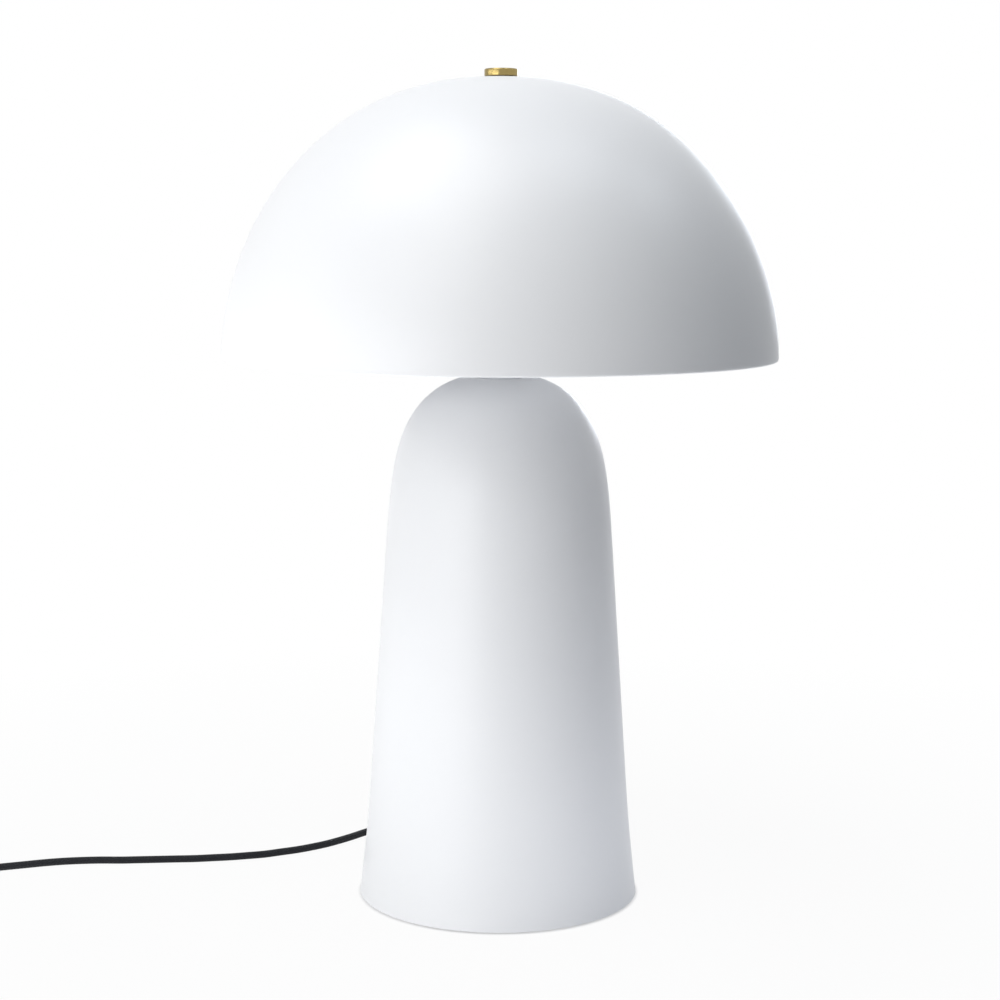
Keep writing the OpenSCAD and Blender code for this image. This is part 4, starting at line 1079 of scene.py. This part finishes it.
def radius_and_height(shader):
    """The distance from the lamp's axis plus the height, which grows from ring to ring."""
    flat = shader.stretched(1, 1, 0)
    length = shader.node("VectorMath", {0: flat}, "Value", operation="LENGTH")
    height = shader.node("SeparateXYZ", {0: shader.place()}, "Z")
    return length + height


brass = Shader("brass")
rings = (radius_and_height(brass) * 3300 + brass.noise(120, 2) * 0.6).wave()
tarnish = brass.noise(160, 3)
# Both colours are much darker than bare brass: painted shade for the dark studio that the knob
# reflects, as the world looks white in reflections. The tarnish noise only varies the tone between
# them.
brass.finish(
    brass.mix(tarnish, (0.29, 0.22, 0.078), (0.35, 0.27, 0.11)),
    0.13 + 0.06 * tarnish + 0.05 * rings, [(rings, 0.3, 0.00001)], Metallic=1.0)

zinc = Shader("zinc_steel")
streaks = zinc.noise(60, 4, 0.7, zinc.stretched(12, 12, 1))
zinc.finish(
    zinc.mix(streaks, (0.42, 0.43, 0.45), (0.57, 0.58, 0.60)), 0.30 + 0.18 * zinc.noise(90, 3),
    [(streaks, 0.25, 0.00003)], Metallic=1.0)


def clouded(name, cloud, dark, light, roughness, grain, strength, distance, **constants):
    """A finish whose colour and roughness follow one noise, and whose bump follows another."""
    shader = Shader(name)
    amount = shader.noise(*cloud)
    shader.finish(shader.mix(amount, dark, light), roughness[0] + roughness[1] * amount,
                  [(shader.noise(*grain), strength, distance)], **constants)


clouded("iron", (420, 6, 0.65), (0.055, 0.055, 0.06), (0.15, 0.145, 0.14), (0.55, 0.3),
        (420, 6, 0.65), 0.8, 0.0004, Metallic=0.6)
clouded("nickel", (300, 4, 0.6), (0.66, 0.64, 0.60), (0.76, 0.74, 0.70), (0.14, 0.16),
        (900, 3), 0.2, 0.00002, Metallic=1.0)
print("Metal finishes:", ", ".join(finishes))

# %% [markdown]
# ## Plastic, rubber, felt, ceramic and opal glass
# Moulded plastic takes a fine grain from its mould, and rubber is duller. Felt is a mat of short
# fibres. The bulb's glass is opal: light goes in a little way and comes out again, and the
# outside keeps a clear gloss.

# %% The other plain finishes
plastic = Shader("black_plastic")
grain = plastic.noise(2600, 2)
plastic.finish(
    plastic.mix(plastic.noise(60, 2), (0.020, 0.020, 0.021), (0.030, 0.030, 0.031)),
    0.36 + 0.16 * grain, [(grain, 0.4, 0.00003)])

clouded("black_rubber", (180, 3), (0.018, 0.018, 0.019), (0.032, 0.032, 0.033), (0.58, 0.2),
        (1500, 2), 0.3, 0.00003)

felt = Shader("felt")
fibres = (felt.noise(700, 5, 0.75, felt.stretched(1, 3.5, 1)) * 0.5
          + felt.noise(700, 5, 0.75, felt.stretched(3.5, 1, 1)) * 0.5)
felt.finish(
    felt.mix(fibres, (0.03, 0.03, 0.032), (0.14, 0.14, 0.145)), 0.95, [(fibres, 0.9, 0.0006)],
    Sheen_Weight=0.3, Sheen_Roughness=0.6)

clouded("white_ceramic", (500, 3), (0.78, 0.76, 0.70), (0.86, 0.84, 0.79), (0.25, 0.15),
        (300, 2), 0.2, 0.00004, Coat_Weight=0.5, Coat_Roughness=0.1)
clouded("opal", (35, 2), (0.86, 0.85, 0.82), (0.92, 0.91, 0.89), (0.16, 0.05),
        (120, 1), 0.1, 0.00005, Subsurface_Weight=0.4, Subsurface_Scale=0.004,
        Coat_Weight=0.4, Coat_Roughness=0.05)
print("Finishes so far:", len(finishes))

# %% [markdown]
# ## The braided flex
# The flex has a braided textile sleeve: eight yarns wind round it one way and eight the other,
# each passing over and under in turn. The sweep's map gives the place along and round the flex.
# Two skewed coordinates count the yarns of each set, and whether their whole parts add up to an
# even or an odd number says which set is on top.

# %% The braid
YARNS = 8
BRAID_LAY = 0.0165

textile = Shader("black_textile")
cord_map = textile.node("UVMap", uv_map="along_around")
along = textile.node("SeparateXYZ", {0: cord_map}, "X") * (YARNS / BRAID_LAY)
around = textile.node("SeparateXYZ", {0: cord_map}, "Y") * YARNS
one_way, other_way = around + along, around - along
on_top = (one_way.maths("FLOOR") + other_way.maths("FLOOR")) % 2


def yarn(count):
    """The rounded height across one yarn, from 0 between yarns to 1 on its crown."""
    return (count.maths("FRACT") * math.pi).maths("SINE")


braid = on_top * yarn(one_way) + (1 - on_top) * yarn(other_way)
fuzz = textile.noise(2500, 4, 0.7)
# The colour follows the braid's height, so it is darker between the yarns: painted shade in the
# gaps. The fuzz adds random tone.
textile.finish(
    textile.mix(braid * 0.75 + fuzz * 0.25, (0.003, 0.0035, 0.005), (0.010, 0.011, 0.015)),
    0.68 + 0.25 * fuzz, [(braid, 0.8, 0.00025), (fuzz, 0.3, 0.00005)],
    Sheen_Weight=0.06, Sheen_Roughness=0.5, Specular_IOR_Level=0.3)
print("Braid of", 2 * YARNS, "yarns, each going round once in", BRAID_LAY * 1000, "mm")

# %% [markdown]
# Every piece takes the finish that its slot names. The CAD solids that stay, such as the ballast
# and the bottom plate, take theirs from the record in the same way.

# %% Give every piece its finish
for name, made in pieces.items():
    made.data.materials.clear()
    made.data.materials.append(finishes[piece_slots[name]])

kept = 0
for part in frame["record"]["subparts"]:
    solid = frame["nodes"][part["node"]]
    for holder in solid.material_slots:
        holder.material = finishes[part["material_slot"]]
        kept += 1
print(len(pieces), "pieces and", kept, "CAD slots have their finish")

# %% [markdown]
# ## The studio
# The photograph has a pure white ground and soft light, mostly from the left, with a slightly
# blue fill from the right. The world and the floor look white to the camera and in reflections,
# and light the lamp at their own lower level. The sheet of paper under the lamp throws light back
# up, and gets darker away from it. It also glows in three parts, which light the lamp from below
# but aren't seen: a wide one to the left, a smaller one close to the lamp on the right, and a
# weak one under the shade. Around the lamp the floor keeps a faint soft shadow, which fades into
# the white paper, and right at the foot a thin darker line, where the lamp touches it.

# %% World and floor
# Levels are shares of white
WORLD_LEVEL = 0.13
FILL_TINT, GLOW_TINT, PLAIN = (0.92, 0.99, 1.07), (0.97, 0.98, 1.06), (1, 1, 1)
PAPER_LEVEL, FAR_LEVEL = 0.8, 0.15
LEFT_GLOW, RIGHT_GLOW, INNER_GLOW = 1.5, 0.55, 0.40
# Where each share of the floor's look fades in or out: two distances from the axis, in metres
PAPER_FADE = (0.25, 0.9)
LEFT_INNER, LEFT_OUTER = (0.24, 0.32), (1.2, 1.4)
RIGHT_INNER, RIGHT_OUTER = (0.12, 0.18), (0.42, 0.54)
INNER_OUTER = (0.26, 0.32)
SHADOW_SHARE, SHADOW_FADE = 0.06, (0.25, 0.75)
# At the foot a ring lets half of the floor's own rendered shading show, so the shade under the
# base's edge reads as a thin contact shadow
CONTACT_SHARE, CONTACT_FADE = 0.5, (0.0850, 0.0870)
# The floor's left and right halves blend into each other over an eighth of a metre
SIDE_BLEND = 8

bpy.context.scene.view_settings.view_transform = "Standard"


def seen_directly(shader):
    """1 for what the camera sees, also in a reflection or through glass, and 0 for lighting."""
    ray = [shader.node("LightPath", output=f"Is {kind} Ray")
           for kind in ("Camera", "Glossy", "Transmission")]
    return ray[0].at_least(ray[1]).at_least(ray[2])


world = bpy.data.worlds.new("studio")
bpy.context.scene.world = world
air = Shader("studio", world)
seen = seen_directly(air)
air.node_end("World", air.node("Background", {
    "Color": air.mix(seen, FILL_TINT, PLAIN), "Strength": seen + (1 - seen) * WORLD_LEVEL}))

paper = Shader("paper")
seen = seen_directly(paper)
distance = paper.node("VectorMath", {0: paper.place()}, "Value", operation="LENGTH")


def near(start, end):
    """1 around the lamp, falling to 0 between two distances from it."""
    return ((end - distance) / (end - start)).at_least(0).at_most(1)


pale, dim, white = (
    paper.node(kind, {"Color": (level, level, level, 1)})
    for kind, level in (("BsdfDiffuse", PAPER_LEVEL), ("BsdfDiffuse", FAR_LEVEL),
                        ("Emission", 1.0)))
across = paper.node("SeparateXYZ", {0: paper.place()}, "X")
left = (0.5 - SIDE_BLEND * across).at_least(0).at_most(1)
bright = (LEFT_GLOW * left * (1 - near(*LEFT_INNER)) * near(*LEFT_OUTER)
          + RIGHT_GLOW * (1 - left) * (1 - near(*RIGHT_INNER)) * near(*RIGHT_OUTER)
          + INNER_GLOW * near(*INNER_OUTER))
lit = paper.node("AddShader", {
    0: paper.node("MixShader", {0: (1 - seen) * (1 - near(*PAPER_FADE)), 1: pale, 2: dim}),
    1: paper.node("Emission", {
        "Color": paper.mix(left, GLOW_TINT, PLAIN), "Strength": (1 - seen) * bright})})
paper.node_end("Material", paper.node("MixShader", {
    0: seen * (1 - SHADOW_SHARE * near(*SHADOW_FADE)) * (1 - CONTACT_SHARE * near(*CONTACT_FADE)),
    1: lit, 2: white}))

FLOOR_HALF_WIDTH = 4.0
sheet = bmesh.new()
bmesh.ops.create_grid(sheet, x_segments=24, y_segments=24, size=FLOOR_HALF_WIDTH)
floor = placed_mesh("floor", sheet)
floor.data.materials.append(paper.owner)
print("World level", WORLD_LEVEL, "and shadow share", SHADOW_SHARE)

# %% [markdown]
# Softboxes are large, so their shadows have no edges. Each is placed by the direction in which it
# stands from the lamp, as a photographer would describe it, and points at the lamp. The two key
# lights give the lamp its soft bright left side, a long narrow strip gives the knob its
# highlight, and the lights on the right are slightly blue.

# %% Softboxes
LAMP_MIDDLE = Vector((0, 0, 0.27))
SOFTBOX_DISTANCE = 1.8
# Azimuth from the front towards the right, elevation, width, height, watts
SOFTBOXES = {
    "key_high_left": (-56, 69, 1.5, 1.2, 19.5),
    "key_low_left": (-40, 0, 1.3, 0.5, 6.4),
    "strip_left": (-58, 11, 3.0, 0.14, 4.6),
    "front_fill": (-25, 38, 1.0, 0.6, 3.2),
    "top_right": (98, 47, 0.35, 0.35, 1.7),
    "high_right": (78, 70, 0.8, 0.6, 3.4),
    "back_right": (165, 10, 0.8, 0.6, 7.2),
    "back_left": (-140, 0, 1.0, 0.5, 0.4),
}

for name, (azimuth, elevation, width, height, watts) in SOFTBOXES.items():
    light = bpy.data.lights.new(name, "AREA")
    light.shape = "RECTANGLE"
    light.size, light.size_y, light.energy = width, height, watts
    light.color = FILL_TINT if azimuth > 0 else PLAIN
    a, e = math.radians(azimuth), math.radians(elevation)
    way = Vector((math.sin(a) * math.cos(e), -math.cos(a) * math.cos(e), math.sin(e)))
    softbox = placed(name, light)
    softbox.location = LAMP_MIDDLE + way * SOFTBOX_DISTANCE
    softbox.rotation_euler = (-way).to_track_quat("-Z", "Y").to_euler()
print("Softboxes:", ", ".join(SOFTBOXES))
